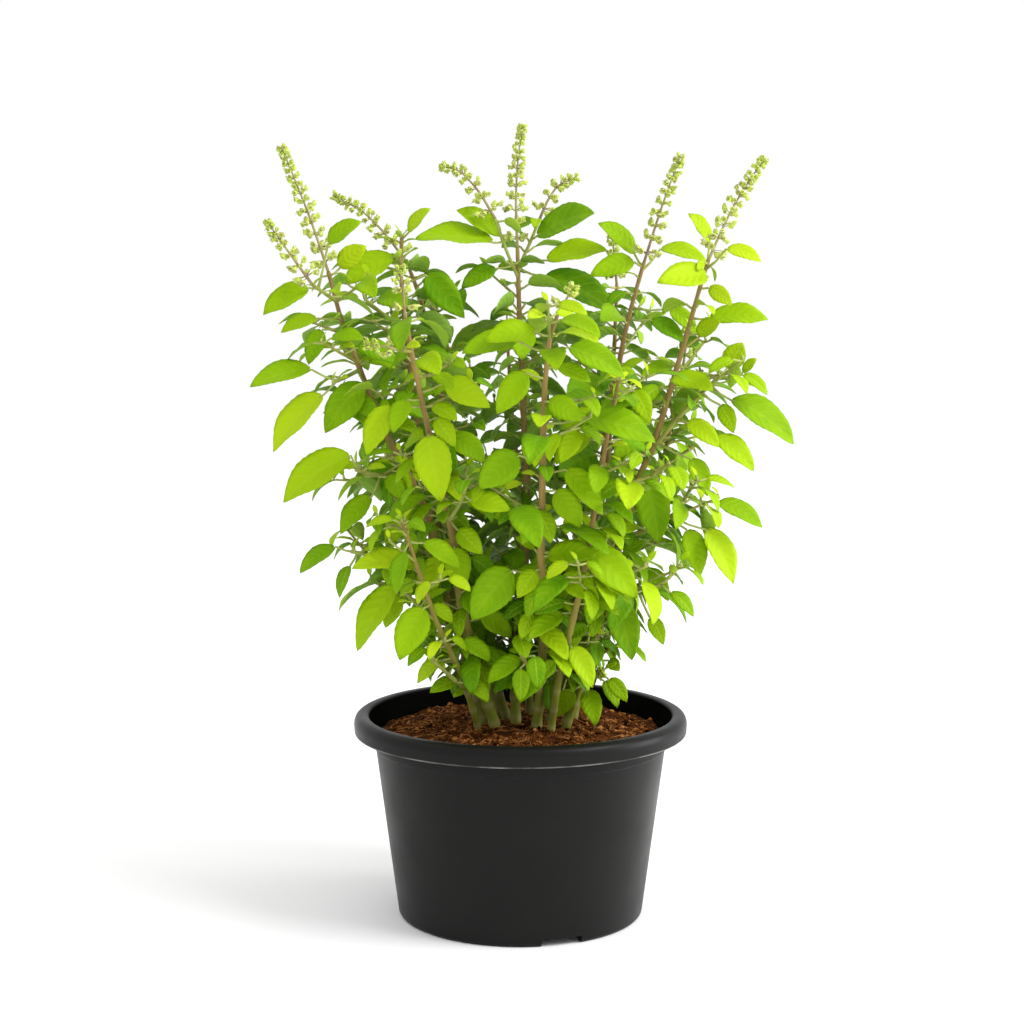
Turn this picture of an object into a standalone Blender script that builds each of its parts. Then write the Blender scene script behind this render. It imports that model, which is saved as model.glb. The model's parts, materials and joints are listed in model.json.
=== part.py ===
"""Holy basil plant in a black plastic nursery pot, built in metres with +Z up.

The origin is on the pot's axis, at the surface that the pot stands on. The front of the plant faces -Y.
Each leafy stem is one solid: its woody stem, side shoots and leaves grew as one piece. Each flower spike
has its own colour and is a solid of its own on the end of its stem.
"""

import bmesh
import bpy
import math
import random
from mathutils import Vector
from mathutils.bvhtree import BVHTree

MM = 0.001
SEED = 7

# Pot, in millimetres
POT_TURN_STEPS = 28
POT_RIM_TOP_Z = 65.0
POT_RIM_R = 53.1
POT_RIM_EDGE_Z = 62.4
POT_LIP_Z = 58.8
POT_MOUTH_R = 48.1
POT_NECK_R = 47.0
POT_STEP_Z = 54.4
POT_STEP = 0.5
POT_BASE_R = 39.1
POT_WALL = 1.5
POT_FLOOR_Z = 3.0
POT_FOOT_WALL = 3.4
NOTCH_WIDTH = 13.0
NOTCH_HEIGHT = 2.4
NOTCH_FIRST_DEG = -71.0
NOTCH_COUNT = 3
DRAIN_R = 3.0
DRAIN_RING_R = 22.0
DRAIN_COUNT = 6

# Soil, in millimetres
SOIL_GAP = 0.35
SOIL_EDGE_Z = 59.0
SOIL_RISE = 2.0
SOIL_LUMP = 0.7
SOIL_RINGS = (0.0, 14.0, 26.0, 37.0)
SOIL_SIDES = 18
STEM_DEPTH = 14.0

# Thickness and side counts of the plant's solids, in millimetres
BLADE_THICK = 0.7
PETIOLE_HALF = 0.42
STEM_SIDES = 5
SHOOT_SIDES = 3
SPIKE_SIDES = 4
STEM_STEP = 19.0
SHOOT_STEP = 17.0
END_GAP = 0.3
MERGE = 0.0005
FLAT_DEG = 0.4
LEAF_LIMIT = 92

# The viewpoint in front of the plant, in millimetres: its place across, its distance and its height
VIEW_X = -2.7
VIEW_DISTANCE = 650.0
VIEW_HEIGHT = 202.7

# The plant's places, in millimetres as they look from the viewpoint. A reading (across, height, depth) is where
# the line of sight meets the upright plane through the pot's axis, and how far behind that plane the place is.

# Main stems: radius at the soil and at the top, where each leaves the soil, how many of the last readings are
# the flower spike, and the route
STEMS = {
    "stem_left": (1.9, 0.62, (-12.0, 3.5), 2, (
        (-17.5, 83.5, 3), (-24.5, 105, 2), (-29, 127, 1), (-35, 140.5, 0), (-40.5, 150, -1),
        (-46.5, 164, -3), (-56, 189, -5), (-60, 204.5, -6), (-66, 222.5, -7), (-74, 242.5, -8))),
    "stem_front_left": (2.0, 0.6, (-8.0, -4.0), 1, (
        (-13.5, 75.5, -7), (-19, 101, -13), (-21.5, 122, -18), (-29, 155, -26), (-33, 173.5, -30),
        (-36, 190, -33), (-37.5, 206, -35))),
    "stem_mid_left": (1.7, 0.6, (-4.5, 8.5), 3, (
        (-13, 88, 14), (-19, 114, 18), (-24, 159.5, 24), (-27.5, 181, 26), (-31.5, 197, 26),
        (-35.5, 207.5, 26), (-41.5, 215.5, 26), (-49.5, 223.5, 26), (-58, 228, 26))),
    "stem_leafy_left": (1.5, 0.6, (-10.5, 10.5), 0, (
        (-18.5, 88, 11), (-24, 114, 12), (-30.5, 145.5, 10), (-35.5, 180, 8), (-37.5, 205, 7),
        (-37, 215.5, 6))),
    "stem_center": (1.9, 0.65, (-1.5, 2.0), 3, (
        (-2, 88, 6), (1.5, 114, 10), (2, 136, 12), (1, 158.5, 14), (-0.5, 194, 14), (-1, 212, 14),
        (-1.5, 225, 14), (-1, 237.5, 13), (0.5, 249.5, 12))),
    "stem_front": (1.9, 0.6, (5.0, -6.5), 1, (
        (6, 68, -10), (7.5, 89.5, -18), (6.5, 112, -25), (7, 144.5, -34), (7.5, 168.5, -40),
        (9, 183.5, -42), (11.5, 191, -43), (16.5, 200, -45))),
    "stem_right": (1.8, 0.6, (9.5, 4.5), 2, (
        (15.5, 85, 6), (21.5, 112, 8), (23, 126, 9), (26.5, 135.5, 9), (28.5, 162.5, 10), (32.5, 185, 8),
        (35.5, 197, 6), (38.5, 207.5, 5), (44, 225, 3), (49.5, 240, 2))),
    "stem_far_right": (1.8, 0.6, (14.5, -2.0), 2, (
        (18.5, 72, -3), (23, 87, -5), (26, 101, -6), (32, 121, -8), (37, 139.5, -9), (41.5, 149, -10),
        (45.5, 162.5, -10), (52, 185, -10), (55.5, 198, -10), (58.5, 208, -10), (66.5, 225.5, -10),
        (75, 238.5, -10))),
    "stem_back_right": (1.6, 0.55, (11.0, 13.0), 1, (
        (17.5, 88, 26), (22, 120, 36), (27, 155, 42), (29.5, 183.5, 44), (30, 200.5, 44),
        (28.5, 215.5, 44))),
    "stem_front_right": (1.4, 0.55, (9.5, -10.5), 0, (
        (12.5, 78, -18), (19, 104, -28), (24, 133, -32), (27.5, 155, -34), (31, 171.5, -35))),
    "stem_low_left": (1.3, 0.55, (-13.5, -6.0), 0, (
        (-18.5, 76.5, -17), (-27, 94.5, -26), (-33.5, 114, -33), (-37.5, 126.5, -36))),
    "stem_back_left": (1.6, 0.55, (-6.5, 15.5), 1, (
        (-21, 101, 36), (-32, 133, 49), (-36.5, 163, 54), (-38.5, 181.5, 55), (-39, 195.5, 56))),
    "stem_back": (1.6, 0.55, (3.0, 14.5), 1, (
        (2, 101, 34), (0, 133, 49), (-3, 163, 57), (-4, 181.5, 59), (-4.5, 196.5, 61))),
    "stem_far_back_right": (1.5, 0.55, (17.0, 6.5), 1, (
        (28.5, 101, 22), (40.5, 129.5, 30), (47.5, 156.5, 34), (51, 175.5, 36), (53, 190, 37))),
}

# Side shoots that the photograph shows: the stem, where it leaves that stem, its route, and the route of the
# flower spike on its end
SHOOTS = {
    "shoot_left_spike": ("stem_left", (-58.5, 195, -6), ((-65, 200.5, -15),),
                         ((-71.5, 209.5, -19), (-78.5, 219.5, -21))),
    "shoot_left_high": ("stem_left", (-50.5, 174, -4), ((-55, 171.5, -8), (-59, 170, -11)), ()),
    "shoot_left_mid": ("stem_left", (-35, 140.5, 0), ((-44.5, 140.5, -8), (-52, 142.5, -14)), ()),
    "shoot_left_low": ("stem_left", (-25.5, 109, 2), ((-36.5, 113, -8), (-53.5, 116.5, -14)), ()),
    "shoot_low_left": ("stem_low_left", (-27, 94.5, -26), ((-33.5, 100, -26), (-38, 105, -24)), ()),
    "shoot_foot_left": ("stem_low_left", (-16.5, 72, -15),
                        ((-21, 75, -20), (-24.5, 78.5, -23), (-28, 81.5, -25)), ()),
    "shoot_front_left_spike": ("stem_front_left", (-35, 179.5, -31), ((-38, 180, -35),),
                               ((-43, 181.5, -38), (-48.5, 182, -40))),
    "shoot_mid_left": ("stem_front_left", (-22.5, 126.5, -19), ((-18.5, 133, -30), (-16.5, 139.5, -38)), ()),
    "shoot_center_left_spike": ("stem_center", (-1, 202.5, 14), ((-4.5, 211, 11), (-8, 221, 10)),
                                ((-13, 229.5, 9), (-19, 236, 8), (-25, 237, 7))),
    "shoot_center_right_spike": ("stem_center", (-1, 205.5, 14), ((3, 213.5, 17), (6, 221, 18)),
                                 ((8, 226, 18), (11.5, 231.5, 18), (17, 233.5, 19))),
    "shoot_right_high": ("stem_far_right", (41.5, 149, -10),
                         ((47.5, 156.5, -12), (55, 165, -10), (63, 172.5, -8)), ()),
    "shoot_right_mid": ("stem_far_right", (32, 121, -8),
                        ((41, 123.5, -14), (50, 129, -17), (54, 137.5, -16)), ()),
    "shoot_right_low": ("stem_far_right", (28.5, 109, -7),
                        ((38, 104, -18), (45.5, 106, -22), (50.5, 112, -22)), ()),
    "shoot_foot_right": ("stem_far_right", (19, 74, -3), ((22, 75, -8), (26.5, 78, -12)), ()),
    "shoot_front_low": ("stem_front", (6, 72, -12), ((2.5, 79, -22), (0, 84, -28)), ()),
}

# Leaves that the photograph shows best: across and height of the blade's base, then of its tip, the depth, and
# the width as a share of the length
SEEN_LEAVES = (
    (-65.5, 174, -85, 168.5, -12, 0.34), (-62, 166, -78, 148, -10, 0.36),
    (-49, 169.5, -61.5, 154, -22, 0.52), (-53.5, 147, -75, 132, -20, 0.42),
    (-42.5, 147, -42.5, 132, -16, 0.60), (-47, 134, -57, 122, -12, 0.45),
    (-33.5, 130.5, -42.5, 117.5, -24, 0.48), (-58.5, 118, -70, 109.5, -15, 0.38),
    (-54, 112, -57.5, 101.5, -13, 0.36), (-33.5, 113.5, -53.5, 111, -26, 0.34),
    (-39, 105.5, -52, 84.5, -24, 0.36), (-37.5, 102.5, -43, 92, -20, 0.50),
    (-30.5, 98.5, -38.5, 81.5, -31, 0.58), (-26, 115, -30.5, 99, -33, 0.46),
    (-21, 118, -18, 104, -36, 0.62), (-2.5, 110.5, -15.5, 94.5, -40, 0.62),
    (-30, 85.5, -36, 79.5, -18, 0.45), (-25.5, 81.5, -33, 74, -19, 0.40),
    (-19.5, 75, -29, 71, -17, 0.45), (-16, 72.5, -21.5, 69.5, -14, 0.42),
    (-66, 199.5, -80.5, 191, -10, 0.42), (-62, 186.5, -66.5, 175.5, -14, 0.52),
    (-63.5, 190, -75, 185.5, -8, 0.38), (-60, 213, -49.5, 220, 2, 0.42),
    (-56.5, 205.5, -48, 212.5, 0, 0.60), (-39.5, 209, -55, 200.5, 12, 0.46),
    (-29, 153.5, -25, 132, -44, 0.56), (-24, 170, -9.5, 162, -44, 0.52),
    (-1, 183, -18.5, 179, -32, 0.40), (2, 173, -7.5, 160, -44, 0.54),
    (-40.5, 162.5, -48.5, 147, -30, 0.48), (-35.5, 164.5, -40, 154, -38, 0.48),
    (-0.5, 147, -13, 136.5, -40, 0.66), (-26.5, 159, -20.5, 149.5, -40, 0.55),
    (-16, 133, -3, 129.5, -38, 0.50), (-20, 123.5, -12, 115.5, -38, 0.60),
    (-8.5, 213.5, -33, 214.5, 2, 0.26), (-6, 215.5, -20, 223.5, 10, 0.38),
    (-7.5, 205.5, -18.5, 199, 0, 0.44), (-35, 216.5, -28, 224, 4, 0.36),
    (-29.5, 203.5, -17.5, 190, -14, 0.52), (5, 215.5, 23, 222.5, 8, 0.36),
    (8, 208, 27, 211, 2, 0.34), (7.5, 203, 30, 191, -8, 0.36),
    (35.5, 210, 24, 219.5, 14, 0.38), (35.5, 207.5, 21.5, 203, 2, 0.46),
    (43.5, 211.5, 58, 207.5, -2, 0.32), (58.5, 203, 42.5, 201, -10, 0.44),
    (59, 213.5, 52, 222.5, -5, 0.36), (64, 211.5, 75, 207.5, -6, 0.38),
    (59, 190, 77.5, 189.5, -8, 0.36), (58.5, 199.5, 66, 194, -14, 0.55),
    (46.5, 193, 55, 185, -16, 0.46), (55, 185, 62.5, 189, -8, 0.50),
    (40.5, 189.5, 51, 182.5, -20, 0.42), (64.5, 174, 69.5, 182.5, -6, 0.72),
    (69.5, 173, 74, 177.5, -4, 0.45), (69.5, 172.5, 77.5, 166, -8, 0.36),
    (66, 164.5, 86, 150.5, -8, 0.36), (62.5, 163, 67, 154, -12, 0.56),
    (61, 153, 73.5, 142, -13, 0.42), (52, 157.5, 62.5, 149.5, -18, 0.48),
    (47, 171, 60.5, 167.5, -22, 0.40), (53.5, 146, 59, 134, -13, 0.48),
    (62, 132, 76.5, 124, -10, 0.36), (58.5, 123.5, 67.5, 106, -14, 0.42),
    (52.5, 123.5, 57, 108.5, -9, 0.50), (39.5, 138.5, 43.5, 119, -40, 0.56),
    (35.5, 167.5, 40.5, 157, -38, 0.56), (20, 159, 42.5, 151, -42, 0.40),
    (15, 181, 32.5, 171.5, -36, 0.42), (11.5, 175, 22, 170, -42, 0.44),
    (8.5, 164, 19.5, 158, -44, 0.60), (18, 155.5, 12.5, 144.5, -40, 0.58),
    (14, 142.5, 26, 128, -40, 0.44), (11, 136, 19, 124, -36, 0.60),
    (-1.5, 131, 6, 117.5, -38, 0.50), (8.5, 115, 24, 115, -46, 0.46),
    (20.5, 117, 37, 101.5, -46, 0.50), (13, 108.5, 25, 100.5, -42, 0.52),
    (29, 101, 35.5, 81.5, -36, 0.50), (39, 111, 47, 100.5, -26, 0.46),
    (47.5, 103.5, 55, 95.5, -22, 0.42), (41, 95.5, 45.5, 86.5, -20, 0.52),
    (6, 92.5, 15, 81.5, -38, 0.44), (16, 86, 23, 72.5, -32, 0.48),
    (4.5, 83, 5.5, 72, -36, 0.58), (0, 79, 0, 67.5, -32, 0.50),
    (-0.5, 90, 2, 82, -38, 0.58), (5, 110.5, -1, 101.5, -42, 0.60),
    (5.5, 105.5, 2, 95, -40, 0.52), (0, 82.5, -10.5, 74, -30, 0.46),
    (17, 72, 10, 62.5, -24, 0.52), (21, 72, 24, 60, -22, 0.52),
    (26.5, 75, 31, 66, -16, 0.48), (28, 75.5, 34, 68, -13, 0.55),
    (28, 81.5, 31.5, 78, -12, 0.80),
)

# Leaves at the front: the reading on the stem, the azimuth in degrees and the length in millimetres
FRONT_LEAVES = (((8.5, 179.5, -42), -84, 17.0), ((7, 152, -37), -100, 20.0), ((7, 123.5, -29), -80, 22.0))

# The crown's outline by rule: the farthest that a leaf reaches from the pot's axis at each height
CROWN_REACH = ((66, 16), (76, 34), (88, 48), (97, 57), (108, 66), (125, 74), (150, 80), (168, 82), (188, 78),
               (204, 64), (214, 38), (220, 20))
CROWN_DEPTH_SHARE = 0.94
CROWN_DEPTH = 63.5
NODE_SPACING = 12.5
SHOOT_NODE_SPACING = 9.5
FIRST_NODE_Z = 76.0
SIDE_SHOOT_GAP = 30.0
LEAF_LENGTHS = (15.0, 24.0)
CLEARANCE = 0.5
BLADE_SHARE = 0.52
SOIL_CLEAR_Z = 63.5
POT_CLEAR_Z = 67.5
POT_CLEAR_R = 38.0
LONG_STATIONS = (0.0, 0.24, 0.5, 0.76)
MIDDLE_STATIONS = (0.0, 0.28, 0.64)
SHORT_STATIONS = (0.12, 0.5)
LONG_LEAF = 18.5
SHORT_LEAF = 20.5
FOLD = 0.26
END_SINK = 1.0
BEND_COST = 6.0
ROOT_SINK = 0.13
HIDING_REACH = 8.0
SITE_SPREADS = (15.0, 11.0, 8.0, 5.0, 3.0)
LEAF_LOWERINGS = (0.0, 0.5)
LEAF_SWINGS = (0.0, 0.35, -0.35, 0.7, -0.7, 1.05, -1.05)


def viewpoint():
    return Vector((VIEW_X, -VIEW_DISTANCE, VIEW_HEIGHT))


def seen(across, height, depth):
    """The point that a reading stands for."""
    eye = viewpoint()
    return eye + (Vector((across, 0.0, height)) - eye) * (1 + depth / VIEW_DISTANCE)


def reading_of(point):
    """The reading (across, height, depth) of a point."""
    eye = viewpoint()
    on_plane = eye + (point - eye) / (1 + point.y / VIEW_DISTANCE)
    return on_plane.x, on_plane.z, point.y


def smooth_route(points, step):
    """Points about step apart on a Catmull-Rom curve through the given ones."""
    out = []
    for i in range(len(points) - 1):
        before, a = points[max(i - 1, 0)], points[i]
        b, after = points[i + 1], points[min(i + 2, len(points) - 1)]
        count = max(1, round((b - a).length / step))
        for k in range(count):
            t = k / count
            out.append(0.5 * (2 * a + (b - before) * t + (2 * before - 5 * a + 4 * b - after) * t * t
                              + (3 * a - 3 * b + after - before) * t ** 3))
    return out + [points[-1]]


def reach_at(z):
    """The crown's radius at a height, from CROWN_REACH."""
    if z <= CROWN_REACH[0][0] or z >= CROWN_REACH[-1][0]:
        return 0.0
    for (z0, r0), (z1, r1) in zip(CROWN_REACH, CROWN_REACH[1:]):
        if z <= z1:
            return r0 + (r1 - r0) * (z - z0) / (z1 - z0)
    return 0.0


class Axis:
    """A stem, side shoot or spike: its centre line, its radius along it, and the stem that it grows with."""

    def __init__(self, name, stem, route, radii, step):
        self.name, self.stem = name, stem
        self.line = smooth_route(route, step)
        self.radii = radii
        self.at = [0.0]
        for a, b in zip(self.line, self.line[1:]):
            self.at.append(self.at[-1] + (b - a).length)
        self.length = self.at[-1]

    def point(self, s):
        """The point at arc length s, and the direction there."""
        s = min(max(s, 0.0), self.length)
        k = next((i for i in range(1, len(self.at)) if self.at[i] >= s), len(self.at) - 1)
        a, b = self.line[k - 1], self.line[k]
        share = (s - self.at[k - 1]) / max(self.at[k] - self.at[k - 1], 1e-9)
        return a.lerp(b, share), (b - a).normalized()

    def radius(self, s):
        return self.radii[0] + (self.radii[1] - self.radii[0]) * s / self.length

    def nearest(self, target):
        """(distance, arc length) of the nearest place on the centre line."""
        best = (1e9, 0.0)
        for k in range(len(self.line) - 1):
            a, b = self.line[k], self.line[k + 1]
            t = min(max((target - a).dot(b - a) / (b - a).length_squared, 0.0), 1.0)
            found = (a.lerp(b, t) - target).length
            if found < best[0]:
                best = (found, self.at[k] + t * (b - a).length)
        return best


class Leaf:
    """A leaf: its root in the stem, its blade's base and tip, the control point that it arches to, and its width."""

    def __init__(self, axis, root, base, tip, arch, width, facing, seen_in_photo):
        self.axis, self.root, self.base, self.tip = axis, root, base, tip
        self.arch, self.width, self.facing = arch, width, facing
        self.seen_in_photo = seen_in_photo
        chord = (tip - base).normalized()
        self.side = chord.cross(facing).normalized()
        length = (tip - base).length
        self.stations = LONG_STATIONS if length > LONG_LEAF else MIDDLE_STATIONS
        if not seen_in_photo and length < SHORT_LEAF:
            self.stations = SHORT_STATIONS

    def spot(self, t):
        """The midrib's point at share t of the blade, and its direction there."""
        a, b, c = self.base, self.arch, self.tip
        point = a * (1 - t) ** 2 + b * 2 * t * (1 - t) + c * t * t
        along = ((b - a) * 2 * (1 - t) + (c - b) * 2 * t).normalized()
        return point, along

    def frame(self, along):
        """The blade's sideways and upper directions where it runs along."""
        side = self.side - along * self.side.dot(along)
        if side.length < 0.35:
            side = along.cross(self.facing)
        side.normalize()
        return side, side.cross(along).normalized()

    def half_width(self, t):
        """Half the blade's width at share t: widest below its middle and drawn to a point at both ends."""
        return 0.5 * self.width * (t ** 0.66) * ((1 - t) ** 0.88) / 0.3524 if 0 < t < 1 else 0.0


def leaf_solid(leaf, thick, petiole, spare=0.0, start=0.0):
    """Vertices and faces of a leaf as one closed solid: a petiole, then a blade folded along its midrib.

    The petiole begins just behind the stem's centre line, or start millimetres out from it.
    """
    verts, faces = [], []
    stalk = (leaf.base - leaf.root).normalized()
    start = min(start, 0.8 * (leaf.base - leaf.root).length) if start else -ROOT_SINK
    sections = [(leaf.root + stalk * start, stalk, petiole, 0.0)]
    for t in leaf.stations:
        point, along = leaf.spot(t)
        sections.append((point, along, max(leaf.half_width(t), petiole) + spare, FOLD if t > 0 else 0.0))
    for point, along, half, fold in sections:
        side, upper = leaf.frame(along)
        edge = upper * (half * fold)
        middle = thick / 2 if half > petiole + spare else petiole
        verts += [point + side * half + edge, point + upper * middle, point - side * half + edge,
                  point - upper * middle]
    faces.append((0, 1, 2, 3))
    for k in range(len(sections) - 1):
        for i in range(4):
            a, b = 4 * k + i, 4 * k + (i + 1) % 4
            if i % 2:
                faces += [(a, a + 4, b), (b, a + 4, b + 4)]
            else:
                faces += [(a, b + 4, b), (a, a + 4, b + 4)]
    last = 4 * (len(sections) - 1)
    verts.append(leaf.tip)
    faces += [(last + (i + 1) % 4, last + i, len(verts) - 1) for i in range(4)]
    return verts, faces


def tube_solid(line, radii, sides):
    """Vertices and faces of a closed tube along a line, its radius going from one end's to the other's."""
    verts, faces = [], []
    reference = Vector((0.31, -0.95, 0.05))
    for k, point in enumerate(line):
        along = (line[min(k + 1, len(line) - 1)] - line[max(k - 1, 0)]).normalized()
        side = (reference - along * reference.dot(along)).normalized()
        other = along.cross(side)
        radius = radii[0] + (radii[1] - radii[0]) * k / (len(line) - 1)
        for i in range(sides):
            turn = 2 * math.pi * i / sides
            verts.append(point + (side * math.cos(turn) + other * math.sin(turn)) * radius)
    faces.append(tuple(reversed(range(sides))))
    for k in range(len(line) - 1):
        for i in range(sides):
            a, b = k * sides + i, k * sides + (i + 1) % sides
            faces.append((a, b, b + sides, a + sides))
    top = (len(line) - 1) * sides
    faces.append(tuple(range(top, top + sides)))
    return verts, faces


def folds_over(verts, faces):
    """True if a solid's own surface crosses itself."""
    tree = tree_of(verts, faces)
    return any(not set(faces[a]) & set(faces[b]) for a, b in tree.overlap(tree))


def tree_of(verts, faces):
    return BVHTree.FromPolygons([tuple(v) for v in verts], faces)


def box_of(verts, spare):
    low = [min(v[i] for v in verts) - spare for i in range(3)]
    high = [max(v[i] for v in verts) + spare for i in range(3)]
    return low, high


def boxes_meet(a, b):
    return all(a[0][i] <= b[1][i] and b[0][i] <= a[1][i] for i in range(3))


class Plant:
    """The plant's axes and leaves. Each is placed clear of everything that was placed before it."""

    def __init__(self):
        self.axes, self.leaves, self.taken = {}, [], []
        self.draw = random.Random(SEED)
        self.spikes = {}

    def add_axis(self, axis, sides):
        self.axes[axis.name] = axis
        verts, faces = tube_solid(axis.line, axis.radii, sides)
        self.taken.append((axis.name, box_of(verts, 0.0), tree_of(verts, faces)))

    def clear(self, solid, own=""):
        """True if this solid meets nothing that is placed already, apart from its own stem."""
        verts, faces = solid
        for v in verts:
            if v.z < SOIL_CLEAR_Z or (v.z < POT_CLEAR_Z and math.hypot(v.x, v.y) > POT_CLEAR_R):
                return False
        box, tree = box_of(verts, 0.0), None
        for name, other, other_tree in self.taken:
            if name == own or not boxes_meet(box, other):
                continue
            if tree is None:
                tree = tree_of(verts, faces)
            if tree.overlap(other_tree):
                return False
        return True

    def add_leaf(self, leaf):
        """Adds a leaf if it is clear, and says whether it was."""
        if folds_over(*leaf_solid(leaf, BLADE_THICK, PETIOLE_HALF)):
            return False
        skin = leaf.axis.radius(leaf.axis.nearest(leaf.root)[1])
        thick, petiole = BLADE_THICK + 2 * CLEARANCE, PETIOLE_HALF + 0.1
        if not self.clear(leaf_solid(leaf, thick, petiole, CLEARANCE, skin + 1.3)):
            return False
        if not self.clear(leaf_solid(leaf, thick, petiole, CLEARANCE, skin + 0.4), leaf.axis.name):
            return False
        verts, faces = leaf_solid(leaf, BLADE_THICK, PETIOLE_HALF, 0.0, skin + 0.4)
        self.taken.append(("leaf", box_of(verts, 0.0), tree_of(verts, faces)))
        self.leaves.append(leaf)
        return True


def outward_at(point):
    flat = Vector((point.x, point.y, 0.0))
    return flat.normalized() if flat.length > 3.0 else Vector((0.0, -1.0, 0.0))


def leaf_facing(base, tip, draw):
    """Which way the blade's upper face looks: up and away from the crown's middle, with a little turn."""
    middle = (base + tip) / 2
    sway = Vector((draw.uniform(-0.25, 0.25), draw.uniform(-0.25, 0.25), 0.0))
    return (Vector((0.0, 0.0, 0.75)) + outward_at(middle) * 0.7 + sway).normalized()


def grow_axes(plant):
    """The main stems, the side shoots that the photograph shows, and the flower spikes on their ends."""
    for name, (foot, top, soil_at, spike_count, route) in STEMS.items():
        points = [Vector((*soil_at, SOIL_EDGE_Z - STEM_DEPTH)), Vector((*soil_at, SOIL_EDGE_Z + 2.5))]
        points += [seen(*reading) for reading in route]
        kept = points[:-spike_count] if spike_count else points
        plant.add_axis(Axis(name, name, kept, (foot, top), STEM_STEP), STEM_SIDES)
        if spike_count:
            plant.spikes["spike_" + name[5:]] = (name, points[-spike_count - 1:])
    for name, (stem, start, route, spike) in SHOOTS.items():
        carrier = plant.axes[stem]
        _, s = carrier.nearest(seen(*start))
        points = [carrier.point(s)[0]] + [seen(*reading) for reading in route]
        thick = min(0.85, carrier.radius(s) * 0.8)
        plant.add_axis(Axis(name, stem, points, (thick, 0.55), SHOOT_STEP), SHOOT_SIDES)
        if spike:
            points = [points[-1]] + [seen(*reading) for reading in spike]
            plant.spikes["spike_" + name[6:].replace("_spike", "_side")] = (name, points)


def place_seen_leaves(plant):
    """The leaves read from the photograph. Each keeps its place in the view, at the depth nearest its stem."""
    for base_x, base_z, tip_x, tip_z, depth, share in SEEN_LEAVES:
        choices = []
        for shift in range(-16, 25, 2):
            base = seen(base_x, base_z, depth + shift)
            for axis in plant.axes.values():
                found, s = axis.nearest(base)
                if found > 2.6 and axis.point(s)[0].z > SOIL_CLEAR_Z + 3:
                    stalk = (base - axis.point(s)[0]).normalized()
                    chord = (seen(tip_x, tip_z, depth + shift) - base).normalized()
                    bend = BEND_COST * (1 - stalk.dot(chord))
                    choices.append((found + 0.22 * abs(shift) + bend, depth + shift, axis, s))
        choices.sort(key=lambda c: c[0])
        place_one_seen(plant, choices[:60], (base_x, base_z, tip_x, tip_z, share))


def place_front_leaves(plant):
    """Leaves that point at the viewer from the front stem: the photograph shows them end on."""
    axis = plant.axes["stem_front"]
    for reading, azimuth, length in FRONT_LEAVES:
        _, s = axis.nearest(seen(*reading))
        for swing in LEAF_SWINGS:
            if plant.add_leaf(rule_leaf(plant, axis, s, math.radians(azimuth) + swing, length, 0.2, 0.9)):
                break


def seen_facing(base, tip, share):
    """Which way a seen leaf's upper face looks: turned up from the viewer until it shows this share of width."""
    chord = (tip - base).normalized()
    view = viewpoint() - base
    square = (view - chord * view.dot(chord)).normalized()
    lift = chord.cross(square)
    if lift.z < 0 or (abs(lift.z) < 0.3 and lift.dot(outward_at(base)) < 0):
        lift = -lift
    shown = min(share / BLADE_SHARE, 1.0)
    return square * shown + lift * math.sqrt(1 - shown * shown)


def place_one_seen(plant, choices, reading):
    base_x, base_z, tip_x, tip_z, share = reading
    for _, near, axis, s in choices:
        base = seen(base_x, base_z, near)
        for lean in (-3, -8, 3, -13, 9, 15):
            tip = seen(tip_x, tip_z, near + lean)
            length = (tip - base).length
            if length > 30:
                continue
            facing = seen_facing(base, tip, share)
            arch = (base + tip) / 2 + Vector((0.0, 0.0, 0.12 * length)) + outward_at(base) * 0.06 * length
            root = axis.point(max(s - 0.25 * min(12.0, (base - axis.point(s)[0]).length), 0.0))[0]
            leaf = Leaf(axis, root, base, tip, arch, max(share, BLADE_SHARE) * length, facing, True)
            if plant.add_leaf(leaf):
                return True
    return False


def rule_leaf(plant, axis, s, azimuth, length, rise, droop):
    """A leaf that leaves its stem at an azimuth and a rise, and bends down along its blade."""
    draw = plant.draw
    root, _ = axis.point(s)
    flat = Vector((math.cos(azimuth), math.sin(azimuth), 0.0))
    stalk = axis.radius(s) + length * 0.24

    def way(angle):
        return flat * math.cos(angle) + Vector((0.0, 0.0, math.sin(angle)))

    base = root + way(rise) * stalk
    arch = base + way(rise - 0.25 * droop) * length * 0.5
    tip = arch + way(rise - droop) * length * 0.5
    return Leaf(axis, root, base, tip, arch, length * draw.uniform(0.42, 0.54), leaf_facing(base, tip, draw),
                False)


def inside_crown(point, spare=0.0):
    depth = point.y / CROWN_DEPTH_SHARE
    return math.hypot(point.x, depth) <= reach_at(point.z) + spare and abs(point.y) < CROWN_DEPTH


def hides_seen_leaf(plant, leaf):
    """True if the leaf would stand in front of one that was read from the photograph."""
    x, z, depth = reading_of(leaf.spot(0.5)[0])
    for other in plant.leaves:
        if not other.seen_in_photo:
            continue
        other_x, other_z, other_depth = reading_of(other.spot(0.5)[0])
        if depth < other_depth and math.hypot(x - other_x, z - other_z) < HIDING_REACH:
            return True
    return False


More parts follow.
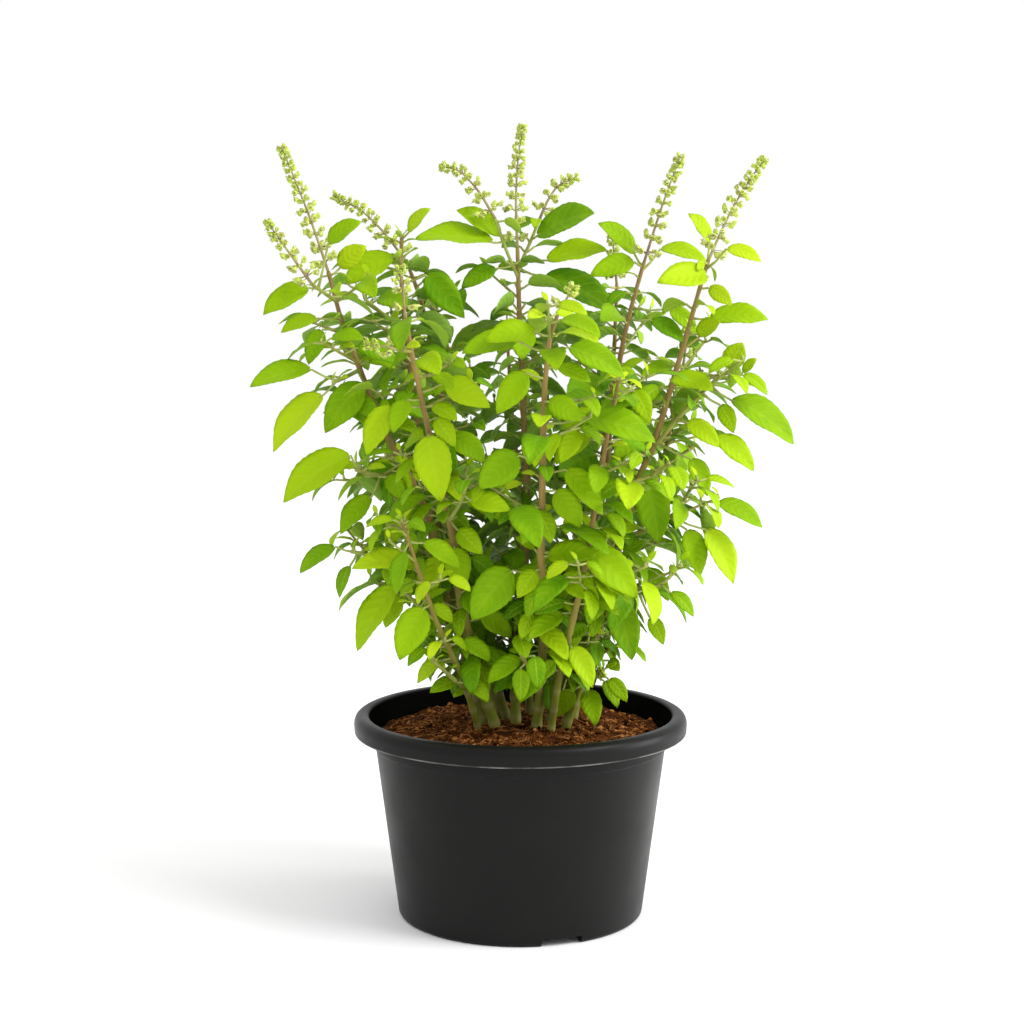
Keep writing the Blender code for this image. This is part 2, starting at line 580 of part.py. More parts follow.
def grow_side_shoots(plant):
    """By rule: side shoots from the stems' leaf joints, where the crown still has room outside them."""
    draw = plant.draw
    for name in list(STEMS):
        axis = plant.axes[name]
        turn = draw.uniform(0, math.pi)
        s = axis.nearest(Vector((axis.line[0].x, axis.line[0].y, FIRST_NODE_Z + 6)))[1]
        count = 0
        while s < axis.length - 12:
            for half in (0, 1):
                azimuth = turn + math.pi * half
                point, _ = axis.point(s)
                flat = Vector((math.cos(azimuth), math.sin(azimuth), 0.0))
                if flat.dot(outward_at(point)) < 0.25 or (flat.y < -0.35 and point.y < 5):
                    continue
                room = reach_at(point.z + 12) - math.hypot(point.x, point.y)
                if room < SIDE_SHOOT_GAP:
                    continue
                reach = min(room - 17.0, 46.0) * draw.uniform(0.8, 1.0)
                rise = draw.uniform(0.30, 0.55)
                middle = point + flat * reach * 0.5 + Vector((0, 0, reach * 0.5 * math.tan(rise)))
                end = point + flat * reach + Vector((0, 0, reach * math.tan(rise) * 1.1))
                shoot = Axis(f"shoot_{name[5:]}_{count}", name, [point, middle, end], (0.75, 0.5), SHOOT_STEP)
                guard = tube_solid(shoot.line, (1.3, 1.1), SHOOT_SIDES)
                if plant.clear(guard, name):
                    plant.add_axis(shoot, SHOOT_SIDES)
                    count += 1
            turn += math.pi / 2 + draw.uniform(-0.3, 0.3)
            s += NODE_SPACING * 1.25


def leaf_sites(plant, spacing_share, turn_by):
    """(axis, arc length, azimuth) of each leaf joint: opposite pairs, each turned a quarter from the last."""
    draw = plant.draw
    sites = []
    for axis in plant.axes.values():
        main = axis.name in STEMS
        spacing = (NODE_SPACING if main else SHOOT_NODE_SPACING) * spacing_share
        turn = draw.uniform(0, math.pi) + turn_by
        s = axis.length - END_SINK
        while s > 3.0 and (not main or axis.point(s)[0].z > FIRST_NODE_Z):
            sites.append((axis, s, turn))
            turn += math.pi / 2 + draw.uniform(-0.2, 0.2)
            s -= spacing * draw.uniform(0.9, 1.1)
    return sites


def place_rule_leaves(plant, lengths, limit, spacing_share=1.0, turn_by=0.0):
    """Pairs of leaves by rule on every stem and side shoot, taken in a shuffled order, up to a limit."""
    draw = plant.draw
    sites = leaf_sites(plant, spacing_share, turn_by)
    draw.shuffle(sites)
    placed = 0
    for spread, (axis, s, turn) in [(spread, site) for spread in SITE_SPREADS for site in sites]:
        point, _ = axis.point(s)
        if any((leaf.base - point).length < spread for leaf in plant.leaves):
            continue
        high = min(max((point.z - 80) / 120, 0.0), 1.0)
        length = draw.uniform(*lengths) * (0.72 if s > axis.length - 3 else 1.0)
        rise = draw.uniform(0.15, 0.6) - 0.45 * (1 - high)
        droop = draw.uniform(0.75, 1.35)
        for half in (0, 1):
            for lower, swing in [(lower, swing) for lower in LEAF_LOWERINGS for swing in LEAF_SWINGS]:
                azimuth = turn + math.pi * half + swing
                leaf = rule_leaf(plant, axis, s, azimuth, length, rise - lower, droop)
                if not inside_crown(leaf.tip) or hides_seen_leaf(plant, leaf):
                    continue
                if plant.add_leaf(leaf):
                    placed += 1
                    break
            if placed >= limit:
                return placed
    return placed


# Flower spikes, in millimetres
SPIKE_R = (0.62, 0.42)
WHORL_STEP = 6.2
WHORL_FLORETS = 3
FLORET_LENGTH = (3.1, 1.7)
FLORET_HALF = (1.25, 0.75)
SPIKE_GUARD_R = 3.4


def floret_solid(centre, out, up, length, half):
    """Vertices and faces of one floret: a pointed bud of five corners, its root in the spike's stalk."""
    side = out.cross(up).normalized()
    over = side.cross(out).normalized()
    waist = centre + out * length * 0.55
    verts = [centre, waist + side * half - over * half * 0.5, waist + over * half,
             waist - side * half - over * half * 0.5, centre + out * length]
    faces = []
    for i in range(3):
        a, b = 1 + i, 1 + (i + 1) % 3
        faces += [(0, a, b), (4, b, a)]
    return verts, faces


def spike_florets(axis):
    """(centre, outward, along, length, half) of each floret on a spike: whorls, each turned from the last."""
    out = []
    s, turn = 3.6, 0.17 * axis.length
    while s < axis.length - 0.6:
        point, along = axis.point(s)
        share = s / axis.length
        length = FLORET_LENGTH[0] + (FLORET_LENGTH[1] - FLORET_LENGTH[0]) * share
        half = FLORET_HALF[0] + (FLORET_HALF[1] - FLORET_HALF[0]) * share
        side = along.cross(Vector((0.31, 0.95, 0.05))).normalized()
        other = along.cross(side)
        for i in range(WHORL_FLORETS):
            around = turn + 2 * math.pi * i / WHORL_FLORETS
            way = (side * math.cos(around) + other * math.sin(around) + along * 0.45).normalized()
            out.append((point, way, along, length, half))
        turn += math.pi / WHORL_FLORETS
        s += WHORL_STEP * (1.0 - 0.35 * share)
    return out


def grow_spikes(plant):
    """The spikes' axes. Each begins a small gap past the end of its stem."""
    for name, (stem, points) in plant.spikes.items():
        points = list(points)
        points[0] = points[0] + (points[1] - points[0]).normalized() * END_GAP
        axis = Axis(name, stem, points, SPIKE_R, 7.0)
        plant.spikes[name] = axis
        verts, faces = tube_solid(axis.line, (SPIKE_GUARD_R, SPIKE_GUARD_R * 0.7), 6)
        plant.taken.append((name, box_of(verts, 0.0), tree_of(verts, faces)))


def grow_plant():
    """Every axis, spike and leaf of the plant, in one fixed order."""
    plant = Plant()
    grow_axes(plant)
    grow_spikes(plant)
    place_seen_leaves(plant)
    place_front_leaves(plant)
    grow_side_shoots(plant)
    place_rule_leaves(plant, LEAF_LENGTHS, LEAF_LIMIT)
    return plant


def new_material(name, color, roughness):
    material = bpy.data.materials.new(name)
    material.use_nodes = True
    shader = material.node_tree.nodes["Principled BSDF"]
    shader.inputs["Base Color"].default_value = (*color, 1.0)
    shader.inputs["Roughness"].default_value = roughness
    material.diffuse_color = (*color, 1.0)
    return material


def new_object(name, verts, faces, smooth=False):
    """An object in metres from a closed solid in millimetres."""
    mesh = bpy.data.meshes.new(name)
    mesh.from_pydata([tuple(Vector(v) * MM) for v in verts], [], faces)
    mesh.update()
    for face in mesh.polygons:
        face.use_smooth = smooth
    obj = bpy.data.objects.new(name, mesh)
    bpy.context.scene.collection.objects.link(obj)
    return obj


def turned_solid(profile, sides):
    """Vertices and faces of a closed profile turned about the Z axis. Corners at radius 0 close on the axis."""
    verts, faces, rings = [], [], []
    for r, z in profile:
        if r == 0:
            rings.append([len(verts)])
            verts.append((0.0, 0.0, z))
            continue
        rings.append([len(verts) + i for i in range(sides)])
        for i in range(sides):
            turn = 2 * math.pi * i / sides
            verts.append((r * math.cos(turn), r * math.sin(turn), z))
    for k in range(len(rings)):
        low, high = rings[k], rings[(k + 1) % len(rings)]
        if len(low) == 1 and len(high) == 1:
            continue
        for i in range(sides):
            j = (i + 1) % sides
            if len(low) == 1:
                faces.append((low[0], high[j], high[i]))
            elif len(high) == 1:
                faces.append((low[i], low[j], high[0]))
            else:
                faces.append((low[i], low[j], high[j], high[i]))
    return verts, faces


def cylinder_solid(x, y, low, high, radius, sides):
    line = [Vector((x, y, low)), Vector((x, y, high))]
    return tube_solid(line, (radius, radius), sides)


def box_solid(centre, turn, size):
    """Vertices and faces of a box: its length runs along the azimuth turn."""
    along = Vector((math.cos(turn), math.sin(turn), 0.0))
    side = Vector((-along.y, along.x, 0.0))
    verts = []
    for z in (-0.5, 0.5):
        for a, b in ((-0.5, -0.5), (0.5, -0.5), (0.5, 0.5), (-0.5, 0.5)):
            verts.append(centre + along * size[0] * a + side * size[1] * b + Vector((0, 0, size[2] * z)))
    faces = [(3, 2, 1, 0), (4, 5, 6, 7), (0, 1, 5, 4), (1, 2, 6, 5), (2, 3, 7, 6), (3, 0, 4, 7)]
    return verts, faces


def combine(target, solids, operation):
    """Applies one Boolean to the target with all of these solids, and removes them."""
    group = bpy.data.collections.new(target.name + "_tools")
    bpy.context.scene.collection.children.link(group)
    for k, (verts, faces) in enumerate(solids):
        tool = new_object(f"{target.name}_tool_{k}", verts, faces)
        bpy.context.scene.collection.objects.unlink(tool)
        group.objects.link(tool)
        tool.hide_render = True
        tool.display_type = "WIRE"
    modifier = target.modifiers.new("combine", "BOOLEAN")
    modifier.operation = operation
    modifier.operand_type = "COLLECTION"
    modifier.collection = group
    modifier.solver = "MANIFOLD"
    bpy.context.view_layer.objects.active = target
    bpy.ops.object.modifier_apply(modifier=modifier.name)
    for tool in list(group.objects):
        bpy.data.objects.remove(tool)
    bpy.data.collections.remove(group)
    return target


def keep_largest_body(obj):
    """Drops loose scraps, so that the object is one body."""
    mesh = bmesh.new()
    mesh.from_mesh(obj.data)
    bmesh.ops.remove_doubles(mesh, verts=mesh.verts, dist=MERGE * MM)
    bmesh.ops.dissolve_degenerate(mesh, edges=mesh.edges, dist=MERGE * MM)
    left, bodies = set(mesh.faces), []
    while left:
        body, queue = set(), [next(iter(left))]
        while queue:
            face = queue.pop()
            if face in body:
                continue
            body.add(face)
            queue += [other for edge in face.edges for other in edge.link_faces]
        bodies.append(body)
        left -= body
    bodies.sort(key=len, reverse=True)
    for body in bodies[1:]:
        bmesh.ops.delete(mesh, geom=list(body), context="FACES")
    bmesh.ops.dissolve_limit(mesh, angle_limit=math.radians(FLAT_DEG), verts=mesh.verts, edges=mesh.edges)
    bmesh.ops.triangulate(mesh, faces=mesh.faces)
    mesh.to_mesh(obj.data)
    mesh.free()
    return obj


def finish_object(obj, color, roughness, smooth):
    obj.data.materials.clear()
    obj.data.materials.append(new_material(obj.name, color, roughness))
    for face in obj.data.polygons:
        face.use_smooth = smooth


def pot_profile():
    """The pot's section as (radius, height) corners: up the outside, over the rim, down the inside, underneath."""
    return [
        (POT_BASE_R - 0.8, 0.0),
        (POT_BASE_R, 0.9),
        (POT_NECK_R - POT_STEP - 0.3, POT_STEP_Z),
        (POT_NECK_R - 0.1, POT_STEP_Z + 0.4),
        (POT_NECK_R, POT_LIP_Z + 0.4),
        (POT_NECK_R + 0.6, POT_RIM_TOP_Z - 2.6),
        (POT_RIM_R - 2.4, POT_RIM_TOP_Z - 2.8),
        (POT_RIM_R - 1.7, POT_LIP_Z + 0.1),
        (POT_RIM_R - 0.6, POT_LIP_Z),
        (POT_RIM_R - 0.2, POT_LIP_Z + 0.5),
        (POT_RIM_R, POT_RIM_EDGE_Z),
        (POT_RIM_R - 0.6, POT_RIM_TOP_Z - 0.9),
        (POT_RIM_R - 1.9, POT_RIM_TOP_Z),
        (POT_MOUTH_R + 1.0, POT_RIM_TOP_Z),
        (POT_MOUTH_R, POT_RIM_TOP_Z - 0.8),
        (POT_NECK_R - POT_WALL, POT_LIP_Z - 0.6),
        (POT_BASE_R - 0.9, POT_FLOOR_Z + POT_WALL),
        (0, POT_FLOOR_Z + POT_WALL),
        (0, POT_FLOOR_Z),
        (POT_BASE_R - POT_FOOT_WALL, POT_FLOOR_Z),
        (POT_BASE_R - POT_FOOT_WALL + 0.2, 0.0),
    ]


def pot_cuts(hole_sides):
    """What is cut out of the pot: the notches through its foot, and the drain holes through its floor."""
    cuts = []
    for k in range(NOTCH_COUNT):
        turn = math.radians(NOTCH_FIRST_DEG + 360 * k / NOTCH_COUNT)
        centre = Vector((math.cos(turn), math.sin(turn), 0.0)) * (POT_BASE_R - 1.2)
        cuts.append(box_solid(centre, turn, (8.0, NOTCH_WIDTH, 2 * NOTCH_HEIGHT)))
    for k in range(DRAIN_COUNT):
        turn = 2 * math.pi * (k + 0.5) / DRAIN_COUNT
        x, y = DRAIN_RING_R * math.cos(turn), DRAIN_RING_R * math.sin(turn)
        cuts.append(cylinder_solid(x, y, POT_FLOOR_Z - 1, POT_FLOOR_Z + POT_WALL + 1, DRAIN_R, hole_sides))
    return cuts


def build_pot():
    pot = new_object("pot", *turned_solid(pot_profile(), POT_TURN_STEPS))
    keep_largest_body(combine(pot, pot_cuts(10), "DIFFERENCE"))
    finish_object(pot, (0.025, 0.023, 0.022), 0.6, True)


def inner_wall_r(z):
    """The radius of the pot's inner wall at a height."""
    low_r, low_z = POT_BASE_R - 0.9, POT_FLOOR_Z + POT_WALL
    high_r, high_z = POT_NECK_R - POT_WALL, POT_LIP_Z - 0.6
    return low_r + (high_r - low_r) * (z - low_z) / (high_z - low_z)


def build_soil():
    """The potting mix: it fills the pot and has a lumpy top. The stems stand in plain holes in it."""
    draw = random.Random(SEED + 1)
    low = POT_FLOOR_Z + POT_WALL + SOIL_GAP
    flat = math.cos(math.pi / POT_TURN_STEPS)
    verts, faces = [(0.0, 0.0, low)], []
    rings = [[0]]
    edge_r = inner_wall_r(SOIL_EDGE_Z - 1.2) * flat - SOIL_GAP - 0.1
    walls = [((inner_wall_r(low) * flat - SOIL_GAP - 0.1), low), (edge_r, SOIL_EDGE_Z - 1.2)]
    for r, z in walls:
        rings.append([len(verts) + i for i in range(SOIL_SIDES)])
        for i in range(SOIL_SIDES):
            turn = 2 * math.pi * i / SOIL_SIDES
            verts.append((r * math.cos(turn), r * math.sin(turn), z))
    for r in reversed(SOIL_RINGS):
        height = SOIL_EDGE_Z + SOIL_RISE * (1 - (r / edge_r) ** 2)
        if r == 0:
            rings.append([len(verts)])
            verts.append((0.0, 0.0, height))
            continue
        rings.append([len(verts) + i for i in range(SOIL_SIDES)])
        for i in range(SOIL_SIDES):
            turn = 2 * math.pi * i / SOIL_SIDES
            lump = draw.uniform(-SOIL_LUMP, SOIL_LUMP)
            verts.append((r * math.cos(turn), r * math.sin(turn), height + lump))
    for a, b in zip(rings, rings[1:]):
        for i in range(SOIL_SIDES):
            j = (i + 1) % SOIL_SIDES
            if len(a) == 1:
                faces.append((a[0], b[j], b[i]))
            elif len(b) == 1:
                faces.append((a[i], a[j], b[0]))
            else:
                faces += [(a[i], a[j], b[j]), (a[i], b[j], b[i])]
    soil = new_object("soil", verts, faces)
    holes = []
    for foot, _, (x, y), _, _ in STEMS.values():
        holes.append(cylinder_solid(x, y, SOIL_EDGE_Z - STEM_DEPTH - 0.4, SOIL_EDGE_Z + 8, foot + 0.66, 6))
    keep_largest_body(combine(soil, holes, "DIFFERENCE"))
    finish_object(soil, (0.13, 0.055, 0.028), 0.95, False)


def build_leafy_stem(plant, number, stem):
    """One stem with its side shoots and leaves, fused into one solid."""
    axis = plant.axes[stem]
    obj = new_object(f"leafy_stem_{number:02d}", *tube_solid(axis.line, axis.radii, STEM_SIDES))
    parts = []
    for other in plant.axes.values():
        if other.stem == stem and other is not axis:
            parts.append(tube_solid(other.line, other.radii, SHOOT_SIDES))
    for leaf in plant.leaves:
        if leaf.axis.stem == stem:
            parts.append(leaf_solid(leaf, BLADE_THICK, PETIOLE_HALF))
    keep_largest_body(combine(obj, parts, "UNION"))
    finish_object(obj, (0.16, 0.30, 0.05), 0.6, False)


def build_spike(name, axis):
    """One flower spike: a thin stalk with whorls of small florets, fused into one solid."""
    obj = new_object(name, *tube_solid(axis.line, axis.radii, SPIKE_SIDES))
    florets = [floret_solid(*floret) for floret in spike_florets(axis)]
    keep_largest_body(combine(obj, florets, "UNION"))
    finish_object(obj, (0.50, 0.44, 0.30), 0.7, False)


def main():
    for obj in list(bpy.data.objects):
        bpy.data.objects.remove(obj)
    plant = grow_plant()
    build_pot()
    build_soil()
    for number, stem in enumerate(STEMS):
        build_leafy_stem(plant, number + 1, stem)
    for name, axis in plant.spikes.items():
        build_spike(name, axis)


main()
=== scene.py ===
"""Holy basil plant in a black plastic nursery pot: its finished look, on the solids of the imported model.

The plant's layout is worked out by the same rule and the same random draws as in the part's own source, so
each fine leaf, stem and flower spike lies where its solid does. Lengths are in millimetres until a mesh is
made.
"""

import json
import math
import random

import bmesh
import bpy
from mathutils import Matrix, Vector, noise
from mathutils.bvhtree import BVHTree

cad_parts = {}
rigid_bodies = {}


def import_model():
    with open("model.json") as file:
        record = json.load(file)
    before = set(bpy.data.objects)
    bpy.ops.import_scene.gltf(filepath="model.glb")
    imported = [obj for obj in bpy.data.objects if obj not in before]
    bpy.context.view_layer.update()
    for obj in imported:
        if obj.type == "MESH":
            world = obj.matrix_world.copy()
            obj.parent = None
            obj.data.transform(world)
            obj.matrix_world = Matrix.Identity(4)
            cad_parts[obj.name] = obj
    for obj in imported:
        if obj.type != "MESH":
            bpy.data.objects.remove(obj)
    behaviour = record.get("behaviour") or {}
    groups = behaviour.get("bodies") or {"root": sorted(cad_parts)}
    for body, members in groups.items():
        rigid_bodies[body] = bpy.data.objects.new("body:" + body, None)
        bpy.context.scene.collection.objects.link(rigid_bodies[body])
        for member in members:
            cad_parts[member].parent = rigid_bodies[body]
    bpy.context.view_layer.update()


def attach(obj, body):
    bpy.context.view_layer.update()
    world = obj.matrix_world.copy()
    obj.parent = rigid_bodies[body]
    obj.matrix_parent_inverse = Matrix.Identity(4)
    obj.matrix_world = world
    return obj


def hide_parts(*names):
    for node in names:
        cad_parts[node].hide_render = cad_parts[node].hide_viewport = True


MM = 0.001
SEED = 7

# Pot, in millimetres
POT_RIM_TOP_Z = 65.0
POT_RIM_R = 53.1
POT_RIM_EDGE_Z = 62.4
POT_LIP_Z = 58.8
POT_MOUTH_R = 48.1
POT_NECK_R = 47.0
POT_STEP_Z = 54.4
POT_STEP = 0.5
POT_BASE_R = 39.1
POT_WALL = 1.5
POT_FLOOR_Z = 3.0
POT_FOOT_WALL = 3.4
NOTCH_WIDTH = 13.0
NOTCH_HEIGHT = 2.4
NOTCH_FIRST_DEG = -71.0
NOTCH_COUNT = 3
DRAIN_R = 3.0
DRAIN_RING_R = 22.0
DRAIN_COUNT = 6

# Soil, in millimetres, and how deep the stems stand in it
SOIL_GAP = 0.35
SOIL_EDGE_Z = 59.0
SOIL_RISE = 2.0
STEM_DEPTH = 14.0

# The plant's solids, in millimetres: what the layout keeps clear of itself
BLADE_THICK = 0.7
PETIOLE_HALF = 0.42
STEM_SIDES = 5
SHOOT_SIDES = 3
STEM_STEP = 19.0
SHOOT_STEP = 17.0
SPIKE_STEP = 7.0
SPIKE_R = (0.62, 0.42)
SPIKE_GUARD_R = 3.4
SPIKE_GUARD_SIDES = 6
END_GAP = 0.3
LEAF_LIMIT = 92
SIDE_REFERENCE = Vector((0.31, -0.95, 0.05))
WHORL_REFERENCE = Vector((0.31, 0.95, 0.05))

# The small leaves of the finished look: lengths, how many, and how close their joints are, for each size
SMALL_LEAVES = (((12.0, 17.0), 520, 0.5), ((8.5, 13.5), 520, 0.4))
SMALL_TURN = 0.6
SMALL_CLEARANCE = 0.12
SMALL_HIDING_REACH = 5.0
TWIG_LENGTHS = (9.0, 18.0)
TWIG_SPACING = 11.0
TWIG_RADII = (0.5, 0.35)
TWIG_GUARD_RADII = (0.8, 0.7)
YOUNG_LENGTHS = (4.0, 8.0)
YOUNG_SPACING = 14.0

# Pairs of young leaves in the tuft on a shoot's end: how far back each is, and its rise in radians
YOUNG_TUFT = ((0.1, 1.25), (0.9, 0.8), (2.2, 0.45))

# A side shoot whose end stays bare
BARE_SHOOT = "shoot_mid_left"

# Fine leaves, in millimetres or as shares of the blade
FINE_THICK = 0.22
EDGE_THICK = 0.02
TOOTH_MM = 2.3
TOOTH_DEPTH = 0.08
BLADE_WAVE = (0.1, 0.34)
BLADE_CURL = (0.3, 1.0)
BLADE_TAPER = (0.0, 0.3)
GROOVE_DEPTH = 0.10
GROOVE_SHARE = 0.2
GROOVED_LENGTH = 12
STALK_RADII = (0.52, 0.36, 0.36, 0.2)
STALK_SAG = 0.05
STALK_SIDES = 6

# Where a blade's corners lie from edge to edge, for leaves longer than each length
BLADE_SHARES = (
    (18.5, (-1.0, -0.72, -0.4, -0.1, 0.1, 0.4, 0.72, 1.0)),
    (11.5, (-1.0, -0.6, -0.12, 0.12, 0.6, 1.0)),
    (0.0, (-1.0, -0.5, 0.0, 0.5, 1.0)),
)

# Fine stems: sides and spacing of the rings, the swelling at a joint, and the leafless joints near the soil
FINE_STEM_SIDES = 10
FINE_SHOOT_SIDES = 8
FINE_STEM_STEP = 1.2
FINE_SHOOT_STEP = 2.4
BARK_SHARE = 0.94
SWELLING = 0.16
SWELLING_REACH = 1.8
LOW_NODES = (17.5, 24.0, 31.0)
SCAR_REACH = 1.5

# Flower spikes: florets in a whorl, and the gap between whorls at the foot and how much less it is at the tip
WHORL_FLORETS = 8
WHORL_GAP = 4.9
WHORL_CLOSING = 3.6
FIRST_WHORL = 2.6
FLORET_SIZE = 2.0
FLORET_SHRINK = 0.9
FLORET_SIDES = 6
FLORET_REACH = 2.8
REACH_SHRINK = 2.1
PETAL_CHANCE = 0.34
THREAD_CHANCE = 0.3
THREAD_LENGTHS = (2.0, 3.4)
THREAD_RADII = (0.07, 0.06, 0.05)
FLORET_STALK_RADII = (0.13, 0.11)
SPIKE_STALK_RADII = (0.5, 0.2)
SPIKE_STALK_STEP = 1.6
SPIKE_STALK_SIDES = 8
TIP_FLORETS = 6
TIP_FLORET_SIZE = 0.8

# A floret's cup as (place along it, radius), both as shares of its size: out over the lip, then back inside
CUP = ((0.0, 0.12), (0.30, 0.14), (0.42, 0.34), (0.62, 0.46), (0.82, 0.42), (1.0, 0.55), (0.90, 0.34),
       (0.6, 0.10))
CUP_LIP = (5, 6)

# Fine pot and soil
POT_FINE_STEPS = 160
POT_EASING = 0.9
POT_EASING_STEPS = 4
DRAIN_SIDES = 24
SOIL_FINE_SIDES = 150
SOIL_FINE_RINGS = 44
SOIL_CROWN_R = 45.0
CLODS = ((1.1, 0.11, 3.1), (1.15, 0.27, 7.7), (0.45, 0.8, 1.3))
CRUMBS = 2200
CRUMB_SIZES = (0.2, 0.28, 0.36, 0.5, 0.75)
FIBRES = 800
FIBRE_LENGTHS = (2.0, 5.5)
FIBRE_R = 0.13

# How bright a leaf is: the shares of its place outside, in front and high up, which paint light on the outer,
# front and upper leaves and shade within the crown; chance; and what is added, painted light for the listed
# seen leaves and a lighter own tone for young ones
PAINTED_LIGHT_SHARES = (0.34, 0.40, 0.14)
TINT_CHANCE = (-0.3, 0.2)
SEEN_LEAF_PAINTED_LIGHT = 0.06
TINT_YOUNG = 0.3

# Colours: linear red, green and blue, and where a ramp puts them
# LEAF_GREENS runs from the dark green of painted shade within the crown to the yellow-green of painted light
# outside, picked by each leaf's tint
LEAF_GREENS = ((0.0, (0.022, 0.11, 0.0)), (0.3, (0.10, 0.27, 0.0)), (0.62, (0.27, 0.46, 0.0)),
               (1.0, (0.50, 0.66, 0.01)))
LEAF_PATCH = (0.36, 0.55, 0.0)
LEAF_UNDERSIDE = (0.34, 0.50, 0.10)
LEAF_VEIN = (0.50, 0.68, 0.06)
BARK = ((0.060, (0.20, 0.25, 0.02)), (0.085, (0.25, 0.24, 0.035)), (0.13, (0.33, 0.22, 0.065)),
        (0.20, (0.32, 0.21, 0.07)), (0.23, (0.34, 0.30, 0.08)))
YOUNG_BARKS = ((0.34, 0.42, 0.09), (0.34, 0.34, 0.07))
BARK_SCAR = (0.40, 0.36, 0.14)
BARK_STREAK = (0.15, 0.10, 0.04)
LEAF_STALK = (0.42, 0.52, 0.13)
FLORET_GREENS = ((0.66, 0.76, 0.17), (0.58, 0.74, 0.10))
FLORET_TINGE = (0.30, 0.20, 0.10)
FLORET_INSIDE = (0.24, 0.22, 0.07)
PETALS = ((0.78, 0.80, 0.44), (0.62, 0.62, 0.34))
SPIKE_STALK = ((0.35, (0.40, 0.36, 0.14)), (0.7, (0.28, 0.20, 0.11)))
SOIL_BROWNS = ((0.28, (0.014, 0.004, 0.001)), (0.44, (0.085, 0.025, 0.005)), (0.60, (0.29, 0.10, 0.022)),
               (0.80, (0.66, 0.29, 0.10)))
POT_BLACKS = ((0.3, (0.004, 0.0038, 0.0036)), (0.75, (0.007, 0.0066, 0.0062)))
# Painted highlight: the pale colour of the broken line along the pot rim's lower edge
POT_PAINTED_HIGHLIGHT = (0.20, 0.19, 0.18)
WHITE = (1.0, 1.0, 1.0)

# Studio: camera in millimetres of film, floor in millimetres, lights in metres and watts as name, place, aim,
# power and size
CAMERA_SENSOR = 36.0
CAMERA_LENS = 72.78
CAMERA_PITCH = math.radians(6.46)
FLOOR = 4000.0
WORLD_LIGHT = 1.0
LIGHTS = (
    ("key", (1.1, -0.55, 1.2), (0.0, 0.0, 0.12), 16.0, 0.8),
    ("side", (1.2, 0.05, 0.3), (0.0, 0.0, 0.06), 7.0, 0.5),
)

# The viewpoint in front of the plant, in millimetres: its place across, its distance and its height
VIEW_X = -2.7
VIEW_DISTANCE = 650.0
VIEW_HEIGHT = 202.7

# The plant's places, in millimetres as they look from the viewpoint. A reading (across, height, depth) is
# where the line of sight meets the upright plane through the pot's axis, and how far behind that plane the
# place is.

